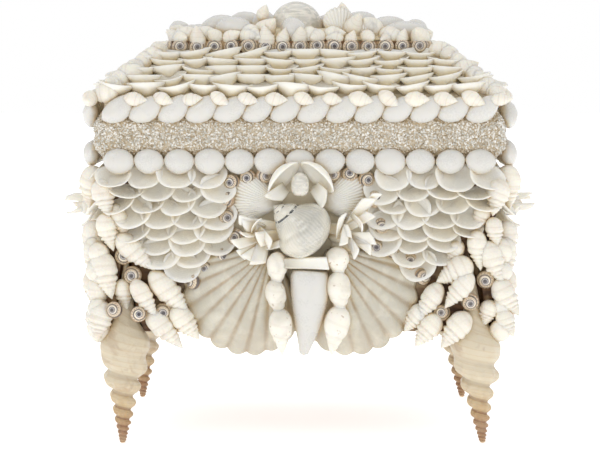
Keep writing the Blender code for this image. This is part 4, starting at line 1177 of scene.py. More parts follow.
class SHELLBOX_OT_oval_rows(bpy.types.Operator):
    """Lay a row of slanted ovals round the lid and a row of round ones under the seam"""

    bl_idname = "shellbox.oval_rows"
    bl_label = "Oval rows"

    def execute(self, context):
        sizes = context.scene.shell_sizes
        thick = sizes.oval_thickness
        oval = oval_shell("oval", sizes.oval_length, sizes.oval_width, thick)
        bead = oval_shell("bead", sizes.bead_width, sizes.bead_height, thick, lip=0.02)
        for i, side in enumerate(SIDES.values()):
            out, shift = (thick / 2, 0) if side.long else (thick / 2 + END_ROW_OUT, END_ROW_SHIFT)
            level = LID_SHOULDER - ROPE_DROP - shift
            places = [(side.place(x, level, out, ROPE_SLANT), 1) for x in evenly(side.half, ROPE_PITCH)]
            row = set_shells(f"lid_{side.name}_oval_row", oval, places, "porcelain", 6, 0.05, 10 + i)
            hand_over(row, "white_shell", f"lid_{side.name}_ovals")
            level = BOX_TOP - BEAD_DROP + shift
            places = [(side.place(x, level, out, 90), 1) for x in evenly(side.half, BEAD_PITCH)]
            row = set_shells(f"box_{side.name}_oval_row", bead, places, "porcelain", 7, 0.05, 20 + i)
            hand_over(row, "white_shell", f"box_{side.name}_ovals")
        return {"FINISHED"}


RIM_SHIFT = 14.0 * MM
RIM_DROP = 3.8 * MM
RIM_OUT = 10.5 * MM
RIM_SCALE = (0.66, 0.66, 0.72)
HIP_SHARES = (-0.10, 0.04, 0.18, 0.33, 0.48, 0.64, 0.80, 0.95)
HIP_TURNS = (-0.9, 0.7, 0.1)
HIP_LEANS = (-1.7, -1.2, -2.1)
HIP_SCALE = (1.0, 1.0, 0.95)


class SHELLBOX_OT_rim_whelks(bpy.types.Operator):
    """Lay small whelks in the gaps over the slanted ovals and up the hips of the lid"""

    bl_idname = "shellbox.rim_whelks"
    bl_label = "Rim whelks"

    def execute(self, context):
        shell = whelk_pattern()
        places = []
        for side in SIDES.values():
            for i, x in enumerate(evenly(side.half, ROPE_PITCH)):
                angle = 104 + 16 * math.sin(2.3 * i)
                place = side.place(x + RIM_SHIFT, LID_SHOULDER - RIM_DROP, RIM_OUT, angle, 8, 40 * i)
                places.append((place, RIM_SCALE))
        row = set_shells("lid_rim_whelks", shell, places, "whelk", 9, 0.12, 31)
        hand_over(joined("lid_edge_whelks", [row, self.hips(shell)]), "white_shell")
        return {"FINISHED"}

    def hips(self, shell):
        """Whelks laid across the four hips of the lid, up to the crown."""
        places = []
        for east in (-1, 1):
            for north in (-1, 1):
                for i, share in enumerate(HIP_SHARES):
                    inset = LID_RUN * share + (4.0 - 10 * share) * MM
                    x, y = HALF_WIDTH - inset, HALF_DEPTH - inset
                    z = LID_SHOULDER + SLOPE_RISE * share + 3.5 * MM
                    place = Matrix.Translation(Vector((east * x, north * y, z)))
                    turn = math.atan2(-east, north) + HIP_TURNS[i % 3]
                    lean = Matrix.Rotation(HIP_LEANS[i % 3], 4, "X") @ Matrix.Rotation(i, 4, "Z")
                    places.append((place @ Matrix.Rotation(turn, 4, "Z") @ lean, HIP_SCALE))
        return set_shells("lid_hip_whelks", shell, places, "whelk", 12, 0.15, 32)


# The bands, as (name, how far they thin out under and over the solid, seed) in millimetres

GRIT_BANDS = (("box_grit_band", 8.0, 0.0, 41), ("lid_grit_band", 0.0, 9.0, 42))
CHIP_DENSITY = 6.2e5
BAND_REACH = 6.2
BAND_THIN_REACH = 1.6
BAND_CORNER_CUT = 1.5 * MM


class SHELLBOX_OT_grit(bpy.types.Operator):
    """Bed crushed shell in glue on both sides of the seam"""

    bl_idname = "shellbox.grit"
    bl_label = "Crushed shell"

    def execute(self, context):
        sizes = context.scene.shell_sizes
        chip = new_object("chip", chip_shell("chip", sizes.chip_size))
        for name, under, over, seed in GRIT_BANDS:
            low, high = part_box(name)
            obj = new_object(name.replace("band", "chips"), self.ring(low.z, high.z, under * MM, over * MM))
            values = {"Chip": chip, "Finish": finish_of("grit"), "Density": CHIP_DENSITY, "Seed": seed}
            evaluated_with(obj, strewing_tree(), values)
            hand_over(obj, "crushed_shell", name)
        bpy.data.objects.remove(chip)
        return {"FINISHED"}

    def ring(self, low, high, under, over):
        """A closed ring of glue round the wood, its corners cut, that thins out under and over it."""
        loops = []
        middle = (low + high) / 2
        foot = BAND_THIN_REACH if under else BAND_REACH
        head = BAND_THIN_REACH if over else BAND_REACH
        profile = (
            (0.4, low - under), (foot, low - 0.8 * under), (6.3, low + 0.1 * MM), (6.6, middle),
            (6.3, high - 0.1 * MM), (head, high + 0.8 * over), (0.4, high + over),
        )
        for reach, z in profile:
            w, d, cut = HALF_WIDTH + reach * MM, HALF_DEPTH + reach * MM, BAND_CORNER_CUT
            loops.append([
                Vector(point + (z,)) for point in (
                    (-w + cut, -d), (w - cut, -d), (w, -d + cut), (w, d - cut),
                    (w - cut, d), (-w + cut, d), (-w, d - cut), (-w, -d + cut),
                )
            ])
        loops.append([Vector((point.x, point.y, low - under)) for point in loops[0]])
        return skin("band", loops, [0] * len(loops))


# Cup shells

LID_CUP_LENGTH = 20 * MM
LID_CUP_SINK = 7.0 * MM
LID_CUP_PITCH = 0.76


class SHELLBOX_OT_lid_cups(bpy.types.Operator):
    """Lay cup shells in courses up the slopes of the lid, with their mouths up"""

    bl_idname = "shellbox.lid_cups"
    bl_label = "Lid cups"

    def execute(self, context):
        sizes = context.scene.shell_sizes
        shell = cup_shell(
            "lid_cup", sizes.lid_cup_width, LID_CUP_LENGTH, sizes.lid_cup_depth, 0.7 * MM,
            fullness=1.5, point=0.7,
        )
        for number, side in enumerate(SIDES.values()):
            places = self.courses(side, sizes, random.Random(number + 5))
            obj = set_shells(f"lid_{side.name}_cup_shells", shell, places, "ivory", 4, 0.08, 50 + number)
            hand_over(obj, "ivory_shell", f"lid_{side.name}_cups")
        return {"FINISHED"}

    def courses(self, side, sizes, chance):
        places = []
        count = round(SLOPE_LENGTH / sizes.lid_cup_course)
        for course in range(count):
            level = (course + 0.34) * SLOPE_LENGTH / count
            half = side.half - LID_RUN * level / SLOPE_LENGTH
            row = evenly(half, LID_CUP_PITCH * sizes.lid_cup_width)
            step = row[1] - row[0]
            for x in row:
                x += (course % 2 - 0.5) * step / 2 + chance.uniform(-1.5, 1.5) * MM
                along = level + chance.uniform(-1.2, 1.2) * MM
                tilt = math.degrees(SLOPE_LEAN) - 90 + chance.uniform(-4, 12)
                frame_of_cup = side.slope @ Matrix.Translation((x, -LID_CUP_SINK, along))
                turn = Matrix.Rotation(math.radians(chance.uniform(-24, 16)), 4, "Y")
                places.append((frame_of_cup @ turn @ Matrix.Rotation(math.radians(tilt), 4, "X"), 1))
        return places


# The hanging swags of cups, as (height, left edge, right edge) in millimetres

FRONT_SWAG = (
    (208, -149, -54), (192, -147, -55), (178, -141, -56), (168, -133, -52), (157, -122, -56),
    (148, -112, -68), (139, -102, -84),
)
END_SWAG = ((206, -92, -28), (180, -86, -30), (162, -78, -36), (148, -66, -48))
MIDDLE_SWAGS = {
    "back": ((208, -52, 52), (192, -48, 48), (178, -42, 42), (168, -34, 34)),
    "left": ((208, -26, 26), (196, -22, 22)), "right": ((208, -26, 26), (196, -22, 22)),
}
CUP_PITCH = 0.80
COURSE_SHIFT = 0.18


def edges_at(table, height):
    for (high, a, b), (low, c, d) in zip(table, table[1:]):
        if height >= low:
            share = (high - height) / (high - low)
            return a + (c - a) * share, b + (d - b) * share
    return table[-1][1:]


class SHELLBOX_OT_swags(bpy.types.Operator):
    """Hang cup shells in courses that narrow to a point, with their lips down"""

    bl_idname = "shellbox.swags"
    bl_label = "Swags"

    def execute(self, context):
        sizes = context.scene.shell_sizes
        shell = cup_shell("cup", sizes.cup_width, sizes.cup_length, sizes.cup_depth, 0.5 * MM, 5, 22)
        seed = 60
        for side in SIDES.values():
            table = FRONT_SWAG if side.long else END_SWAG
            for end, flip in zip(ENDS[side.name], (1, -1)):
                seed += 1
                places = self.courses(side, flip, table, sizes, random.Random(seed))
                obj = set_shells(f"{side.name}_{end}_cup_shells", shell, places, "cup", 3, 0.06, seed)
                hand_over(obj, "ivory_shell", f"{side.name}_{end}_cups")
        for number, (name, table) in enumerate(MIDDLE_SWAGS.items()):
            places = self.courses(SIDES[name], 1, table, sizes, random.Random(160 + number))
            obj = set_shells(f"{name}_middle_cup_shells", shell, places, "cup", 3, 0.06, 160 + number)
            hand_over(obj, "ivory_shell")
        return {"FINISHED"}

    def courses(self, side, flip, table, sizes, chance):
        """Frames of the cups from the lowest course up, so that each course laps over the one below."""
        places = []
        top, bottom = table[0][0] * MM, table[-1][0] * MM
        count = round((top - bottom) / sizes.cup_course)
        for course in range(count + 1):
            down = course / count
            z = top - (top - bottom) * down
            left, right = (value * MM for value in edges_at(table, z / MM))
            width = right - left
            cups = max(1, round(width / (CUP_PITCH * sizes.cup_width)))
            shift = COURSE_SHIFT if course % 2 else -COURSE_SHIFT
            for i in range(cups):
                x = left + (i + 0.5 + shift) * width / cups
                inward = (x - left) / max(width, 1 * MM)
                lean = -48 + 14 * down + 18 * inward + chance.uniform(-8, 8)
                angle = chance.uniform(-16, 16) + 18 * (inward - 0.5)
                out = (8.0 + chance.uniform(-1, 2)) * MM
                place = side.place(flip * x, z + chance.uniform(-1.5, 1.5) * MM, out, flip * angle, lean)
                places.append((place, chance.uniform(0.90, 1.04) + 0.10 * inward))
        return places


# Buttons

CROWN_BUTTON_PITCH = 13.4 * MM
CROWN_BUTTON_OUT = 1.6 * MM


class SHELLBOX_OT_crown_buttons(bpy.types.Operator):
    """Set a ring of button shells round the lid's crown"""

    bl_idname = "shellbox.crown_buttons"
    bl_label = "Crown buttons"

    def execute(self, context):
        sizes = context.scene.shell_sizes
        shell = button_pattern(sizes)
        places = []
        for side in SIDES.values():
            z = (CROWN_BASE + CROWN_TOP) / 2
            out = CROWN_BUTTON_OUT - LID_RUN - CROWN_INSET
            for i, x in enumerate(evenly(side.crown_half, CROWN_BUTTON_PITCH)):
                place = side.facing(x, z + 0.4 * MM * math.sin(5 * i), out, -6)
                places.append((place @ Matrix.Rotation(1.9 * i, 4, "Z"), (1, 1, 0.9)))
        ring = set_shells("lid_button_ring", shell, places, "button", 7, 0.08, 71)
        hand_over(ring, "button_shell", "lid_buttons")
        return {"FINISHED"}


# Buttons strung between the swags and the middle, as (x, z, out, swing) in millimetres and degrees

FRONT_STRINGS = (
    (-52.5, 202, 5, -20), (-40, 205.5, 5, 0), (-26, 207, 5, 5), (-56, 189, 5, -50), (-55, 175, 5, -10),
    (-49, 160, 6, -10), (-58, 146, 5, 0), (-72, 136, 5, -10), (-82.5, 126, 6, -55),
    (25, 208, 5, 0), (37.5, 208.5, 5, 0), (51, 204, 5, 15), (57.5, 189.5, 5, 30), (57.5, 152, 5, 0),
    (70.5, 150, 5, 10), (84, 142, 5, 0), (94, 130, 6, 15), (62, 168, 5, 20),
)
FRONT_CORNER_BUTTONS = (
    (-134, 146, 6, 0), (-127.5, 131, 8, 0), (-141, 106, 17, -10), (-122, 103, 17, 5), (-104, 103, 10, 5),
    (141, 127.5, 8, 0), (107.5, 103, 9, 0), (129, 111, 12, 5),
)


def both_ways(table):
    """Each place of a table, as (x, z, out), on both halves of a side."""
    return tuple((flip * x, z, out, 0) for x, z, out in table for flip in (-1, 1))


BACK_STRINGS = both_ways(((36, 161, 7), (50, 155, 6), (63, 146, 6), (77, 137, 6), (91, 127, 6)))
END_STRINGS = both_ways(((30, 166, 6), (38, 153, 6), (49, 142, 6)))


class SHELLBOX_OT_button_strings(bpy.types.Operator):
    """Set buttons along the swags and in the corners"""

    bl_idname = "shellbox.button_strings"
    bl_label = "Button strings"

    def execute(self, context):
        shell = button_pattern(context.scene.shell_sizes)
        tables = {
            "front": FRONT_STRINGS + FRONT_CORNER_BUTTONS, "back": BACK_STRINGS,
            "left": END_STRINGS, "right": END_STRINGS,
        }
        for number, (name, table) in enumerate(tables.items()):
            side = SIDES[name]
            places = []
            for i, (x, z, out, swing) in enumerate(table):
                place = side.facing(x * MM, z * MM, out * MM, 0, swing)
                places.append((place @ Matrix.Rotation(2.1 * i, 4, "Z"), 1))
            obj = set_shells(f"{name}_buttons", shell, places, "button", 10, 0.08, 80 + number)
            hand_over(obj, "button_shell")
        return {"FINISHED"}


# Spindle shells of the corners, as (root x, root z, tip x, tip z, width, out, lean) in millimetres

FRONT_LEFT_SPINDLES = (
    (-152, 205, -144, 175, 17, 8, 4), (-150, 178, -141, 150, 15, 7, 4), (-152, 150, -143, 113, 19, 8, 6),
    (-149, 112, -155, 80, 18, 9, 8), (-140, 162, -109, 135, 17, 8, 6), (-127, 128, -108, 100, 14, 13, 4),
    (-114, 134, -84, 102, 18, 9, 4), (-97, 107, -77, 82, 17, 8, 4), (-117, 105, -88, 75, 17, 10, 6),
    (-141, 186, -132, 158, 13, 4, 0), (-136, 128, -132, 104, 13, 5, 0), (-103, 122, -90, 96, 13, 4, 0),
)
FRONT_RIGHT_SPINDLES = (
    (152, 205, 146, 176, 17, 8, 4), (134, 166, 136, 135, 15, 8, 4), (146, 176, 149, 152, 13, 8, 4),
    (141, 158, 153, 124, 17, 9, 6), (131, 142, 103, 126, 20, 8, 4), (130, 134, 110, 106, 16, 12, 4),
    (107, 126, 89, 96, 16, 9, 4), (106, 101, 87, 77, 17, 9, 6), (128, 103, 107, 76, 18, 12, 6),
    (148, 128, 167, 100, 17, 9, 4), (152, 106, 163, 84, 14, 9, 4), (122, 158, 112, 138, 13, 4, 0),
    (140, 186, 134, 164, 13, 4, 0), (146, 112, 140, 92, 14, 6, 0), (96, 108, 79, 88, 14, 6, 2),
)
BACK_SPINDLES = (
    (-150, 205, -142, 172, 17, 8, 4), (-148, 168, -142, 136, 17, 8, 4), (-136, 160, -110, 136, 17, 8, 4),
    (-116, 134, -90, 106, 17, 8, 4), (-148, 130, -150, 96, 17, 8, 6), (-128, 122, -110, 92, 16, 8, 4),
    (-100, 106, -82, 84, 16, 8, 4), (-134, 100, -120, 84, 14, 8, 0),
)
END_SPINDLES = (
    (-93, 160, -90, 128, 15, 10, 4), (-90, 214, -82, 180, 19, 11, 4), (-88, 172, -80, 140, 17, 10.5, 4),
    (-86, 136, -82, 104, 17, 10.5, 4), (-74, 158, -58, 130, 16, 9.5, 4), (-70, 132, -56, 102, 17, 10.5, 4),
    (-84, 104, -74, 84, 15, 10.5, 4), (-60, 106, -50, 84, 15, 10.5, 4),
)


def mirrored(table):
    """The same table for the other half of a side."""
    return tuple((-row[0], row[1], -row[2]) + row[3:] for row in table)


class SHELLBOX_OT_corners(bpy.types.Operator):
    """Bed spindle shells down the corners and round the legs"""

    bl_idname = "shellbox.corners"
    bl_label = "Corner spindles"

    def execute(self, context):
        tables = {
            ("front", "left"): FRONT_LEFT_SPINDLES, ("front", "right"): FRONT_RIGHT_SPINDLES,
            ("back", "right"): BACK_SPINDLES, ("back", "left"): mirrored(BACK_SPINDLES),
            ("right", "front"): END_SPINDLES, ("right", "back"): mirrored(END_SPINDLES),
            ("left", "back"): END_SPINDLES, ("left", "front"): mirrored(END_SPINDLES),
        }
        shell = spindle_pattern()
        for number, ((name, end), table) in enumerate(tables.items()):
            side = SIDES[name]
            places = []
            for i, (*line, width, out, lean) in enumerate(table):
                place, length = from_root_to_tip(side, *line, out, lean, 137 * i)
                thick = width * MM / SPINDLE_WIDTH
                places.append((place, (thick, thick, length / SPINDLE_LENGTH)))
            obj = set_shells(f"{name}_{end}_spindle_shells", shell, places, "whelk", 3, 0.03, 90 + number)
            hand_over(obj, "spindle_shell", f"{name}_{end}_spindles")
        return {"FINISHED"}


# Zones of the hidden sides that small whelks fill, as (x from, x to, z from, z to) in millimetres

FILLED = {"back": (58, 147, 88, 142), "left": (42, 96, 88, 150), "right": (42, 96, 88, 150)}
FILLING_PITCH = 15 * MM


class SHELLBOX_OT_filling(bpy.types.Operator):
    """Bed small whelks in the plaster between the larger shells of the back and the ends"""

    bl_idname = "shellbox.filling"
    bl_label = "Filling"

    def execute(self, context):
        shell = small_whelk_pattern()
        for number, (name, zone) in enumerate(FILLED.items()):
            chance = random.Random(170 + number)
            near, far, low, high = (value * MM for value in zone)
            places = []
            for row in range(round((high - low) / FILLING_PITCH) + 1):
                for column in range(round((far - near) / FILLING_PITCH) + 1):
                    x = near + (column + 0.5 * (row % 2)) * FILLING_PITCH
                    z = low + row * FILLING_PITCH + chance.uniform(-2, 2) * MM
                    for flip in (-1, 1):
                        out = chance.uniform(4.5, 7.5) * MM
                        angle, roll = 180 + flip * 35 + chance.uniform(-50, 50), chance.uniform(0, 360)
                        places.append((SIDES[name].place(flip * min(x, far), z, out, angle, 4, roll), 1))
            obj = set_shells(f"{name}_filling_shells", shell, places, "whelk", 8, 0.12, 170 + number)
            hand_over(obj, "white_shell")
        return {"FINISHED"}


# Fan shells, as (hinge x, hinge z, angle) in millimetres and degrees

SCALLOPS = {
    "front_left_scallop": ("front", -21, 153, 209), "front_right_scallop": ("front", 21, 153, -209),
    "back_right_scallop": ("back", -21, 153, 209), "back_left_scallop": ("back", 21, 153, -209),
    "left_scallop": ("left", 0, 160, 180), "right_scallop": ("right", 0, 160, 180),
}
SCALLOP_SPREAD = 56
SCALLOP_STANDOFF = 0.6 * MM
ARKS = (("left", -12, 185, -78), ("right", 12, 185, 78))


class SHELLBOX_OT_scallops(bpy.types.Operator):
    """Hang the scallops on the four sides"""

    bl_idname = "shellbox.scallops"
    bl_label = "Scallops"

    def execute(self, context):
        sizes = context.scene.shell_sizes
        shell = fan_shell(
            "scallop", sizes.scallop_length, sizes.scallop_height, SCALLOP_SPREAD, sizes.scallop_ribs,
            1.25 * MM, 1.6 * MM, rows=34, per_rib=8,
        )
        for name, (side, x, z, angle) in SCALLOPS.items():
            place = SIDES[side].place(x * MM, z * MM, SCALLOP_STANDOFF, angle)
            obj = single(name + "_shell", shell, place, "scallop")
            hand_over(obj, "cream_shell", name)
        return {"FINISHED"}


class SHELLBOX_OT_arks(bpy.types.Operator):
    """Lay a ribbed ark shell on each side of the pearl shell"""

    bl_idname = "shellbox.arks"
    bl_label = "Ark shells"

    def execute(self, context):
        shell = fan_shell("ark", 43 * MM, 11 * MM, 42, 21, 0.55 * MM, 1.3 * MM, rows=20, per_rib=4)
        for end, x, z, angle in ARKS:
            place = SIDES["front"].place(x * MM, z * MM, SCALLOP_STANDOFF, angle)
            obj = single(f"front_{end}_ark_shell", shell, place, "ark")
            hand_over(obj, "cream_shell", f"front_{end}_ark")
        return {"FINISHED"}


# The middle of the front


class SHELLBOX_OT_middle(bpy.types.Operator):
    """Set the pearl shell, its hood and drop, the band and the cone in the middle of the front"""

    bl_idname = "shellbox.middle"
    bl_label = "Middle ornament"

    def execute(self, context):
        side = SIDES["front"]
        self.turban(side)
        self.band(side)
        self.cone(side)
        self.drop(side)
        self.hood(side, context.scene.shell_sizes)
        return {"FINISHED"}

    def turban(self, side):
        shell = spired_shell("turban", 48 * MM, 45 * MM, TURBAN_OUTLINE, 2.0, 0.09, 56, 60, 0.42)
        place = side.place(-1.5 * MM, 170.5 * MM, 20.5 * MM, -50, 6, 60)
        obj = single("front_turban_shell", shell, place, "pearl")
        hand_over(obj, "pearl_shell", "front_turban")

    def band(self, side):
        """A cut strip of shell that curves round under the pearl shell."""
        strip = shard_shell(
            "band", 33 * MM, 8.6 * MM, 26, 2.4 * MM, hollow=0.10, slant=0.1, rows=12, columns=6
        )
        place = side.place(-12.0 * MM, 142.5 * MM, 27 * MM, 90, -13)
        obj = single("front_band_strip", strip, place, "shard")
        hand_over(obj, "white_shell", "front_band")

    def cone(self, side):
        """A smooth worn cone, tip down, with a flared cut end."""
        shell = spired_shell(
            "cone", 66 * MM, 29.5 * MM, TOOTH_OUTLINE, 9.0, 0.0, 40, 50, 1.0, flatten=0.95, bend=0.10
        )
        place = side.place(5 * MM, 104 * MM, 16.5 * MM, 4, 0, 0)
        obj = single("front_cone_shell", shell, place, "porcelain")
        hand_over(obj, "white_shell", "front_cone")

    def drop(self, side):
        shell = spired_shell("drop", 18.5 * MM, 13.2 * MM, DROP_OUTLINE, 9.0, 0.0, 24, 24, 1.0)
        place = side.place(0, 201.5 * MM, 21 * MM)
        obj = single("front_pearl_drop_shell", shell, place, "nacre")
        hand_over(obj, "pearl_shell", "front_pearl_drop")

    def hood(self, side, sizes):
        """Two long cup shells that meet like a roof, with a cut piece at each foot."""
        cup = cup_shell("hood", 18 * MM, 31 * MM, 8 * MM, 1.4 * MM, 6, 26, 0.1, 0.0)
        cups = []
        for x, z, angle, roll in ((-12.0, 205.0, 42, 58), (12.5, 206.0, -46, -58)):
            cups.append((side.place(x * MM, z * MM, 17 * MM, angle, 0, roll), 1))
        halves = set_shells("hood_cups", cup, cups, "shard", 0, 0, 101)
        piece = shard_shell("hood_piece", 15 * MM, 11 * MM, 35, sizes.shard_thickness)
        pieces = []
        for x, z, angle in ((-10, 199, 232), (10, 200, 140)):
            pieces.append((side.place(x * MM, z * MM, 15 * MM, angle, 14), 1))
        feet = set_shells("hood_pieces", piece, pieces, "shard", 0, 0, 102)
        hand_over(joined("front_hood_shells", [halves, feet]), "white_shell", "front_hood")


# Cut pieces of the bows, as (root x, root z, tip x, tip z, out, lean, roll, width) in millimetres and degrees

LEFT_BOW = (
    (-14, 168, -45, 171, 12, 4, 0, 10), (-27, 167, -48, 177, 14, 12, -20, 8),
    (-35, 165, -35, 177, 18, 24, 60, 6), (-31, 168, -19, 157, 18, 8, 20, 6),
    (-26, 154, -7, 157, 19, 6, -30, 6), (-31, 161, -51, 155, 14, 14, 20, 8),
    (-33, 165, -45, 161, 17, 30, 50, 6), (-29, 155, -47, 147, 13, 10, 0, 9),
    (-27, 160, -31, 140, 14, 8, 0, 11), (-22, 158, -41, 143, 12, 10, 10, 9),
    (-12, 162, -34, 160, 13, 8, 0, 11),
)
RIGHT_BOW = (
    (49, 181, 57, 197, 13, 14, 20, 6), (36, 168, 53, 192, 12, 8, 20, 8), (34, 167, 56, 180, 13, 10, -15, 7),
    (29, 160, 30, 180, 18, 10, 50, 6), (35, 171, 33, 155, 19, 14, 0, 6), (38, 178, 50, 170, 17, 16, 50, 6),
    (30, 160, 57, 162, 12, 8, 0, 9), (38, 161, 56, 152, 14, 12, 10, 7), (34, 162, 45, 147, 16, 16, 20, 7),
    (18, 168, 40, 166, 13, 10, 0, 9), (24, 157, 42, 156, 12, 8, 0, 10),
)
BOW_KNOTS = {"left": (-26, 161, 9), "right": (31, 162, 9)}

SHARD_LENGTH = 18 * MM
SHARD_WIDTH = 9 * MM


class SHELLBOX_OT_bows(bpy.types.Operator):
    """Tie a bow of cut pieces of shell on each side of the pearl shell"""

    bl_idname = "shellbox.bows"
    bl_label = "Bows"

    def execute(self, context):
        thickness = context.scene.shell_sizes.shard_thickness
        shard = shard_shell("shard", SHARD_LENGTH, SHARD_WIDTH, 42, thickness, hollow=0.06, slant=0.25)
        knot = oval_shell("knot", 20 * MM, 13 * MM, 12 * MM)
        for number, (end, table) in enumerate((("left", LEFT_BOW), ("right", RIGHT_BOW))):
            side = SIDES["front"]
            places = []
            for root_x, root_z, tip_x, tip_z, out, lean, roll, width in table:
                run, rise = tip_x - root_x, tip_z - root_z
                angle, length = math.degrees(math.atan2(run, rise)), math.hypot(run, rise) * MM
                place = side.place(root_x * MM, root_z * MM, out * MM, angle, lean, roll)
                across = width * MM / SHARD_WIDTH
                places.append((place, (across, across, length / SHARD_LENGTH)))
            shards = set_shells("bow_shards", shard, places, "shard", 3, 0.02, 110 + number)
            x, z, out = BOW_KNOTS[end]
            middle = single("bow_knot", knot, side.place(x * MM, z * MM, out * MM, 80), "shard")
            hand_over(joined(f"front_{end}_bow_shells", [shards, middle]), "white_shell", f"front_{end}_bow")
        return {"FINISHED"}


# Conches of the tassels, as (root x, root z, tip x, tip z, width, out) in millimetres

TASSELS = {
    "left": (
        (-17, 149, -17.5, 123, 14, 21), (-19.5, 128, -15.5, 101, 15, 21), (-15.5, 106, -13, 74, 16.5, 21),
    ),
    "right": ((27, 153, 30, 131, 16, 20), (28, 134, 31, 103, 17.5, 21), (30, 108, 24, 74, 18, 21)),
}
TASSEL_LENGTH = 28 * MM
TASSEL_LAP = 1.16


class SHELLBOX_OT_tassels(bpy.types.Operator):
    """Hang three conches in a row from each bow"""

    bl_idname = "shellbox.tassels"
    bl_label = "Tassels"

    def execute(self, context):
        shell = spired_shell(
            "tassel", TASSEL_LENGTH, 16 * MM, TASSEL_OUTLINE, 1.55, 0.08, 24, 30, 0.45, knobs=6, knob=0.09
        )
        for number, (end, table) in enumerate(TASSELS.items()):
            places = []
            for i, (*line, width, out) in enumerate(table):
                place, length = from_root_to_tip(SIDES["front"], *line, out, 0, 75 * i)
                places.append((place, (width / 14.5, width / 15.5, TASSEL_LAP * length / TASSEL_LENGTH)))
            obj = set_shells(f"front_{end}_tassel_shells", shell, places, "tassel", 2, 0, 120 + number)
            hand_over(obj, "white_shell", f"front_{end}_tassel")
        return {"FINISHED"}


# Flowers of cut shell on the back and the ends, by height in millimetres

FLOWERS = {"back": 172, "left": 176, "right": 176}
FLOWER_OUT = 12

# Their rings of petals, as (petals, lean in degrees, length, width)

PETALS = ((7, 10, 1.3, 1.1), (4, 60, 1.25, 0.7))


class SHELLBOX_OT_flowers(bpy.types.Operator):
    """Set a flower of cut shell over the scallops on the back and the ends"""

    bl_idname = "shellbox.flowers"
    bl_label = "Flowers"

    def execute(self, context):
        thickness = context.scene.shell_sizes.shard_thickness
        shard = shard_shell("petal", SHARD_LENGTH, SHARD_WIDTH, 50, thickness)
        moon = moon_pattern()
        drop = spired_shell(
            "back_drop", 58 * MM, 24 * MM, SPINDLE_OUTLINE, 1.5, 0.08, 30, 50, 0.45, knobs=8, knob=0.08
        )
        for number, (name, z) in enumerate(FLOWERS.items()):
            side = SIDES[name]
            places = []
            for ring, (count, lean, length, width) in enumerate(PETALS):
                for i in range(count):
                    angle = 360 * (i + 0.5 * ring) / count + 11
                    up = 2 * ring * MM if name != "back" else 0
                    place = side.place(0, z * MM + up, (FLOWER_OUT + 4 * ring) * MM, angle, lean)
                    places.append((place, (width, width, length)))
            parts = [set_shells("flower_shards", shard, places, "shard", 6, 0.08, 130 + number)]
            heart = side.facing(0, z * MM, (FLOWER_OUT + 12) * MM)
            parts.append(single("flower_heart", moon, heart, "whelk", 0.9))
            if name == "back":
                hang = side.place(0, 140 * MM, 14 * MM, 180)
                parts.append(single("flower_drop", drop, hang, "whelk"))
            hand_over(joined(f"{name}_flower_shells", parts), "white_shell", f"{name}_flower")
        return {"FINISHED"}


# The heap on the crown, as (x, y, z, turn, lean, length, width) in millimetres and degrees

HEAP_WHELKS = (
    (-91, -36, 312.5, -80, 92, 25, 14), (-73, -37, 313.5, 70, 84, 24, 13), (-38, -38, 313, 35, 98, 26, 16),
    (9, -38, 312, 88, 90, 22, 15), (27, -38, 313, 78, 80, 19, 14), (-29, -26, 330, 30, 30, 16, 10),
    (56, -30, 318, -30, 60, 30, 18), (98, -30, 313, 60, 80, 16, 10), (-97, -24, 315, -40, 70, 18, 13),
    (72, -37, 312, 65, 90, 24, 15), (96, 8, 314, 90, 88, 24, 15), (-97, 12, 314, -90, 88, 24, 15),
    (80, 34, 313, 150, 88, 26, 16), (30, 38, 313, 100, 88, 24, 15), (-10, 38, 313, 200, 88, 26, 15),
    (-60, 38, 313, 240, 88, 26, 15), (-84, 32, 314, 160, 84, 24, 15), (52, 36, 314, 190, 80, 26, 16),
    (-36, 37, 313, 170, 84, 24, 15), (8, 36, 318, 160, 60, 22, 14),
)
HEAP_CONES = (
    (-27, -33, 317, 25, 64, 38, 17), (43, -32, 319, 20, 52, 34, 19), (34, -20, 327, -20, 30, 26, 16),
    (-20, 22, 320, 190, 62, 34, 18), (40, 20, 321, 150, 60, 34, 18), (-70, 20, 318, 210, 72, 32, 17),
)
HEAP_OVALS = (
    (-52, -31, 318, 82, 88, 31, 22), (-64, -12, 319, 96, 84, 32, 22), (-84, -22, 315, 80, 86, 26, 14),
    (84, -26, 315, 84, 88, 40, 20), (70, -8, 318, 100, 84, 34, 22), (-46, 8, 322, 60, 80, 32, 22),
    (30, -4, 324, 40, 70, 30, 22), (48, 4, 322, 120, 84, 32, 22), (-30, -10, 322, 10, 60, 30, 20),
    (86, 6, 315, 40, 84, 34, 18), (-82, 6, 314, 120, 84, 32, 17), (-6, 22, 322, 90, 84, 32, 22),
    (66, 22, 317, 60, 84, 34, 20), (-52, 26, 317, 100, 84, 32, 20), (20, 22, 320, 20, 70, 30, 20),
)
HEAP_MOONS = ((-5, -35, 317, 150, 60, 20, 20), (92, -12, 317, 0, 50, 20, 19), (-96, -6, 316, 60, 60, 18, 18))
HEAP_FANS = ((29, -24, 308, 14, 10, 27), (52, -26, 305, -12, 30, 24))
MOUND_PROFILE = ((0.92, 0.5), (0.90, 2.0), (0.78, 6.0), (0.5, 10.0))
EDGE_PITCH = 13 * MM
EDGE_INSET = 2.5 * MM
DOME_RIBS = 32


def on_crown(x, y, z, turn, lean):
    """The frame of a shell of the heap: the way its tip points, seen from above, and its lean."""
    place = Matrix.Translation((x * MM, y * MM, z * MM))
    return place @ Matrix.Rotation(math.radians(turn), 4, "Z") @ Matrix.Rotation(math.radians(lean), 4, "X")


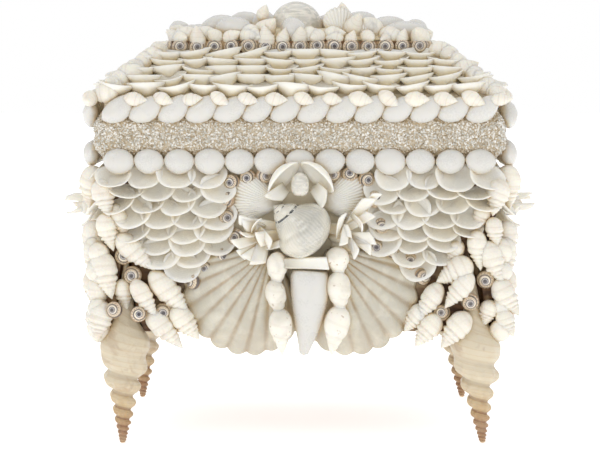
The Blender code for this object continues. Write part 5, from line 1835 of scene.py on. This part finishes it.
class SHELLBOX_OT_heap(bpy.types.Operator):
    """Heap mixed shells on the crown round a ribbed pearly dome"""

    bl_idname = "shellbox.heap"
    bl_label = "Heap"

    def execute(self, context):
        parts = [self.mound()]
        cone = spired_shell("heap_cone", 30 * MM, 16 * MM, SPINDLE_OUTLINE, 1.6, 0.06, 20, 24, 0.5)
        kinds = (
            ("whelks", whelk_pattern(), 26, 16, HEAP_WHELKS, "whelk"),
            ("cones", cone, 30, 16, HEAP_CONES, "whelk"),
            ("ovals", oval_shell("heap_oval", 30 * MM, 20 * MM, 18 * MM), 30, 20, HEAP_OVALS, "porcelain"),
            ("moons", moon_pattern(), 20, 19, HEAP_MOONS, "porcelain"),
        )
        for number, (name, shell, length, width, table, finish) in enumerate(kinds):
            places = []
            for x, y, z, turn, lean, long, wide in table:
                places.append((on_crown(x, y, z, turn, lean), (wide / width, wide / width, long / length)))
            parts.append(set_shells(f"heap_{name}", shell, places, finish, 5, 0.03, 140 + number))
        parts.append(self.edge())
        fan = fan_shell("heap_fan", 30 * MM, 8 * MM, 46, 13, 0.5 * MM, 1.2 * MM, rows=14, per_rib=4)
        for x, y, z, turn, lean, length in HEAP_FANS:
            parts.append(single("heap_fan", fan, on_crown(x, y, z, turn, lean), "ark", length / 30))
        hand_over(joined("lid_heap_shells", parts), "white_shell", "lid_heap")
        self.dome()
        return {"FINISHED"}

    def edge(self):
        """Small whelks round the edge of the crown, over the buttons."""
        chance = random.Random(150)
        places = []
        for side in SIDES.values():
            for x in evenly(side.crown_half, EDGE_PITCH):
                angle, lean = chance.uniform(-125, 125), chance.uniform(0, 65)
                z = CROWN_TOP + chance.uniform(1.5, 4.0) * MM
                place = side.place(x, z, -LID_RUN - CROWN_INSET - EDGE_INSET, angle, lean, 60 * len(places))
                places.append((place, chance.uniform(0.55, 0.9)))
        return set_shells("heap_edge", small_whelk_pattern(), places, "whelk", 8, 0.15, 150)

    def mound(self):
        """The low mound of plaster under the heap."""
        rings = []
        for reach, up in MOUND_PROFILE:
            ring = []
            for j in range(40):
                angle = math.tau * j / 40
                c, s = math.cos(angle), math.sin(angle)
                x = CROWN_HALF_WIDTH * reach * math.copysign(abs(c) ** 0.35, c)
                y = CROWN_HALF_DEPTH * reach * math.copysign(abs(s) ** 0.35, s)
                ring.append(Vector((x, y, CROWN_TOP + up * MM)))
            rings.append(ring)
        foot, head = (Vector((0, 0, ring[0].z)) for ring in (rings[0], rings[-1]))
        rings = [[foot]] + rings + [[head]]
        obj = new_object("mound", skin("mound", rings, [0] * len(rings)))
        obj.data.materials.append(finish_of("plaster"))
        return obj

    def dome(self):
        """A half-round pearly dome with faint ribs."""
        low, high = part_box("lid_top_pearl")
        middle = (low + high) / 2
        width, height = high.x - low.x, high.z - low.z
        rings, uvs = [], []
        rows, sides = 20, 96
        for i in range(rows + 1):
            angle = QUARTER * i / rows
            level = low.z + height * math.sin(angle)
            radius = width / 2 * math.cos(angle)
            uvs.append(i / rows)
            if i == rows:
                rings.append([Vector((middle.x, middle.y, level))])
                continue
            ring = []
            for j in range(sides):
                turn = math.tau * j / sides
                rib = 1 + 0.012 * math.cos(DOME_RIBS * turn + 5 * math.sin(angle)) * math.cos(angle)
                x = middle.x + radius * rib * math.cos(turn)
                ring.append(Vector((x, middle.y + radius * rib * math.sin(turn), level)))
            rings.append(ring)
        rings.insert(0, [Vector((middle.x, middle.y, low.z))])
        uvs.insert(0, 0)
        obj = new_object("lid_top_pearl_dome", skin("dome", rings, uvs))
        obj.data.materials.append(finish_of("nacre"))
        hand_over(obj, "pearl_shell", "lid_top_pearl")


# The stage, with its lamps as (name, place, width, power)

FLOOR_REACH = 6.0
FLOOR_GLOW = 0.60
SKY = 0.84
LAMPS = (
    ("key", (-0.9, -1.0, 1.3), 0.8, 2.8), ("fill", (1.1, -1.1, 0.6), 1.2, 1.2),
    ("top", (0.1, 0.3, 1.6), 1.0, 1.4),
)
AIM = (0, 0, 0.18)


class SHELLBOX_OT_stage(bpy.types.Operator):
    """Lay a plain pale floor, light it softly and set the camera"""

    bl_idname = "shellbox.stage"
    bl_label = "Stage"

    def execute(self, context):
        settings = context.scene.shell_stage
        self.floor(settings)
        self.lights(context)
        self.camera(context, settings)
        return {"FINISHED"}

    def floor(self, settings):
        corners = [(x * FLOOR_REACH, y * FLOOR_REACH, 0) for x, y in ((-1, -1), (1, -1), (1, 1), (-1, 1))]
        mesh = bpy.data.meshes.new("floor")
        mesh.from_pydata(corners, [], [(0, 1, 2, 3)])
        floor = new_object("floor", mesh)
        material = bpy.data.materials.new("floor")
        material.use_nodes = True
        shader = material.node_tree.nodes["Principled BSDF"]
        shader.inputs["Base Color"].default_value = (*settings.backdrop, 1)
        shader.inputs["Roughness"].default_value = 0.8
        shader.inputs["Specular IOR Level"].default_value = 0.1
        shader.inputs["Emission Color"].default_value = (1, 1, 1, 1)
        shader.inputs["Emission Strength"].default_value = FLOOR_GLOW
        mesh.materials.append(material)

    def lights(self, context):
        world = bpy.data.worlds.new("surroundings")
        world.use_nodes = True
        world.node_tree.nodes["Background"].inputs["Color"].default_value = (1.0, 1.0, 1.0, 1)
        links = world.node_tree.links
        ray = node(world.node_tree, "ShaderNodeLightPath")
        strength = maths(world.node_tree, "MULTIPLY_ADD", ray.outputs["Is Camera Ray"], 1 - SKY, SKY)
        links.new(strength, world.node_tree.nodes["Background"].inputs["Strength"])
        context.scene.world = world
        context.scene.view_settings.view_transform = "Standard"
        for name, place, width, power in LAMPS:
            data = bpy.data.lights.new(name, "AREA")
            data.shape = "DISK"
            data.size = width
            data.energy = power
            lamp = bpy.data.objects.new(name, data)
            lamp.location = place
            aim = Vector(AIM) - Vector(place)
            lamp.rotation_euler = aim.to_track_quat("-Z", "Y").to_euler()
            context.scene.collection.objects.link(lamp)

    def camera(self, context, settings):
        data = bpy.data.cameras.new("camera")
        data.lens = settings.lens
        data.sensor_width = 36
        camera = bpy.data.objects.new("camera", data)
        camera.location = (0, -settings.distance, settings.height)
        camera.rotation_euler = Euler((QUARTER - settings.pitch, 0, 0))
        context.scene.collection.objects.link(camera)
        context.scene.camera = camera


OPERATORS = (
    SHELLBOX_OT_wood, SHELLBOX_OT_legs, SHELLBOX_OT_oval_rows, SHELLBOX_OT_rim_whelks, SHELLBOX_OT_grit,
    SHELLBOX_OT_lid_cups, SHELLBOX_OT_swags, SHELLBOX_OT_crown_buttons, SHELLBOX_OT_button_strings,
    SHELLBOX_OT_corners, SHELLBOX_OT_filling, SHELLBOX_OT_scallops, SHELLBOX_OT_arks,
    SHELLBOX_OT_middle, SHELLBOX_OT_bows, SHELLBOX_OT_tassels, SHELLBOX_OT_flowers, SHELLBOX_OT_heap,
    SHELLBOX_OT_stage,
)


class SHELLBOX_PT_panel(bpy.types.Panel):
    """Buttons for each group of shells, in the order in which they are laid"""

    bl_idname = "SHELLBOX_PT_panel"
    bl_label = "Shell box"
    bl_space_type = "VIEW_3D"
    bl_region_type = "UI"
    bl_category = "Shell box"

    def draw(self, context):
        for operator in OPERATORS:
            self.layout.operator(operator.bl_idname)


CLASSES = (ShellSizes, ShellColours, StageSettings) + OPERATORS + (SHELLBOX_PT_panel,)


def register():
    for item in CLASSES:
        bpy.utils.register_class(item)
    bpy.types.Scene.shell_sizes = bpy.props.PointerProperty(type=ShellSizes)
    bpy.types.Scene.shell_colours = bpy.props.PointerProperty(type=ShellColours)
    bpy.types.Scene.shell_stage = bpy.props.PointerProperty(type=StageSettings)


def unregister():
    del bpy.types.Scene.shell_sizes
    del bpy.types.Scene.shell_colours
    del bpy.types.Scene.shell_stage
    for item in reversed(CLASSES):
        bpy.utils.unregister_class(item)


def main():
    register()
    for operator in OPERATORS:
        module, name = operator.bl_idname.split(".")
        getattr(getattr(bpy.ops, module), name)()


if __name__ == "__main__":
    main()
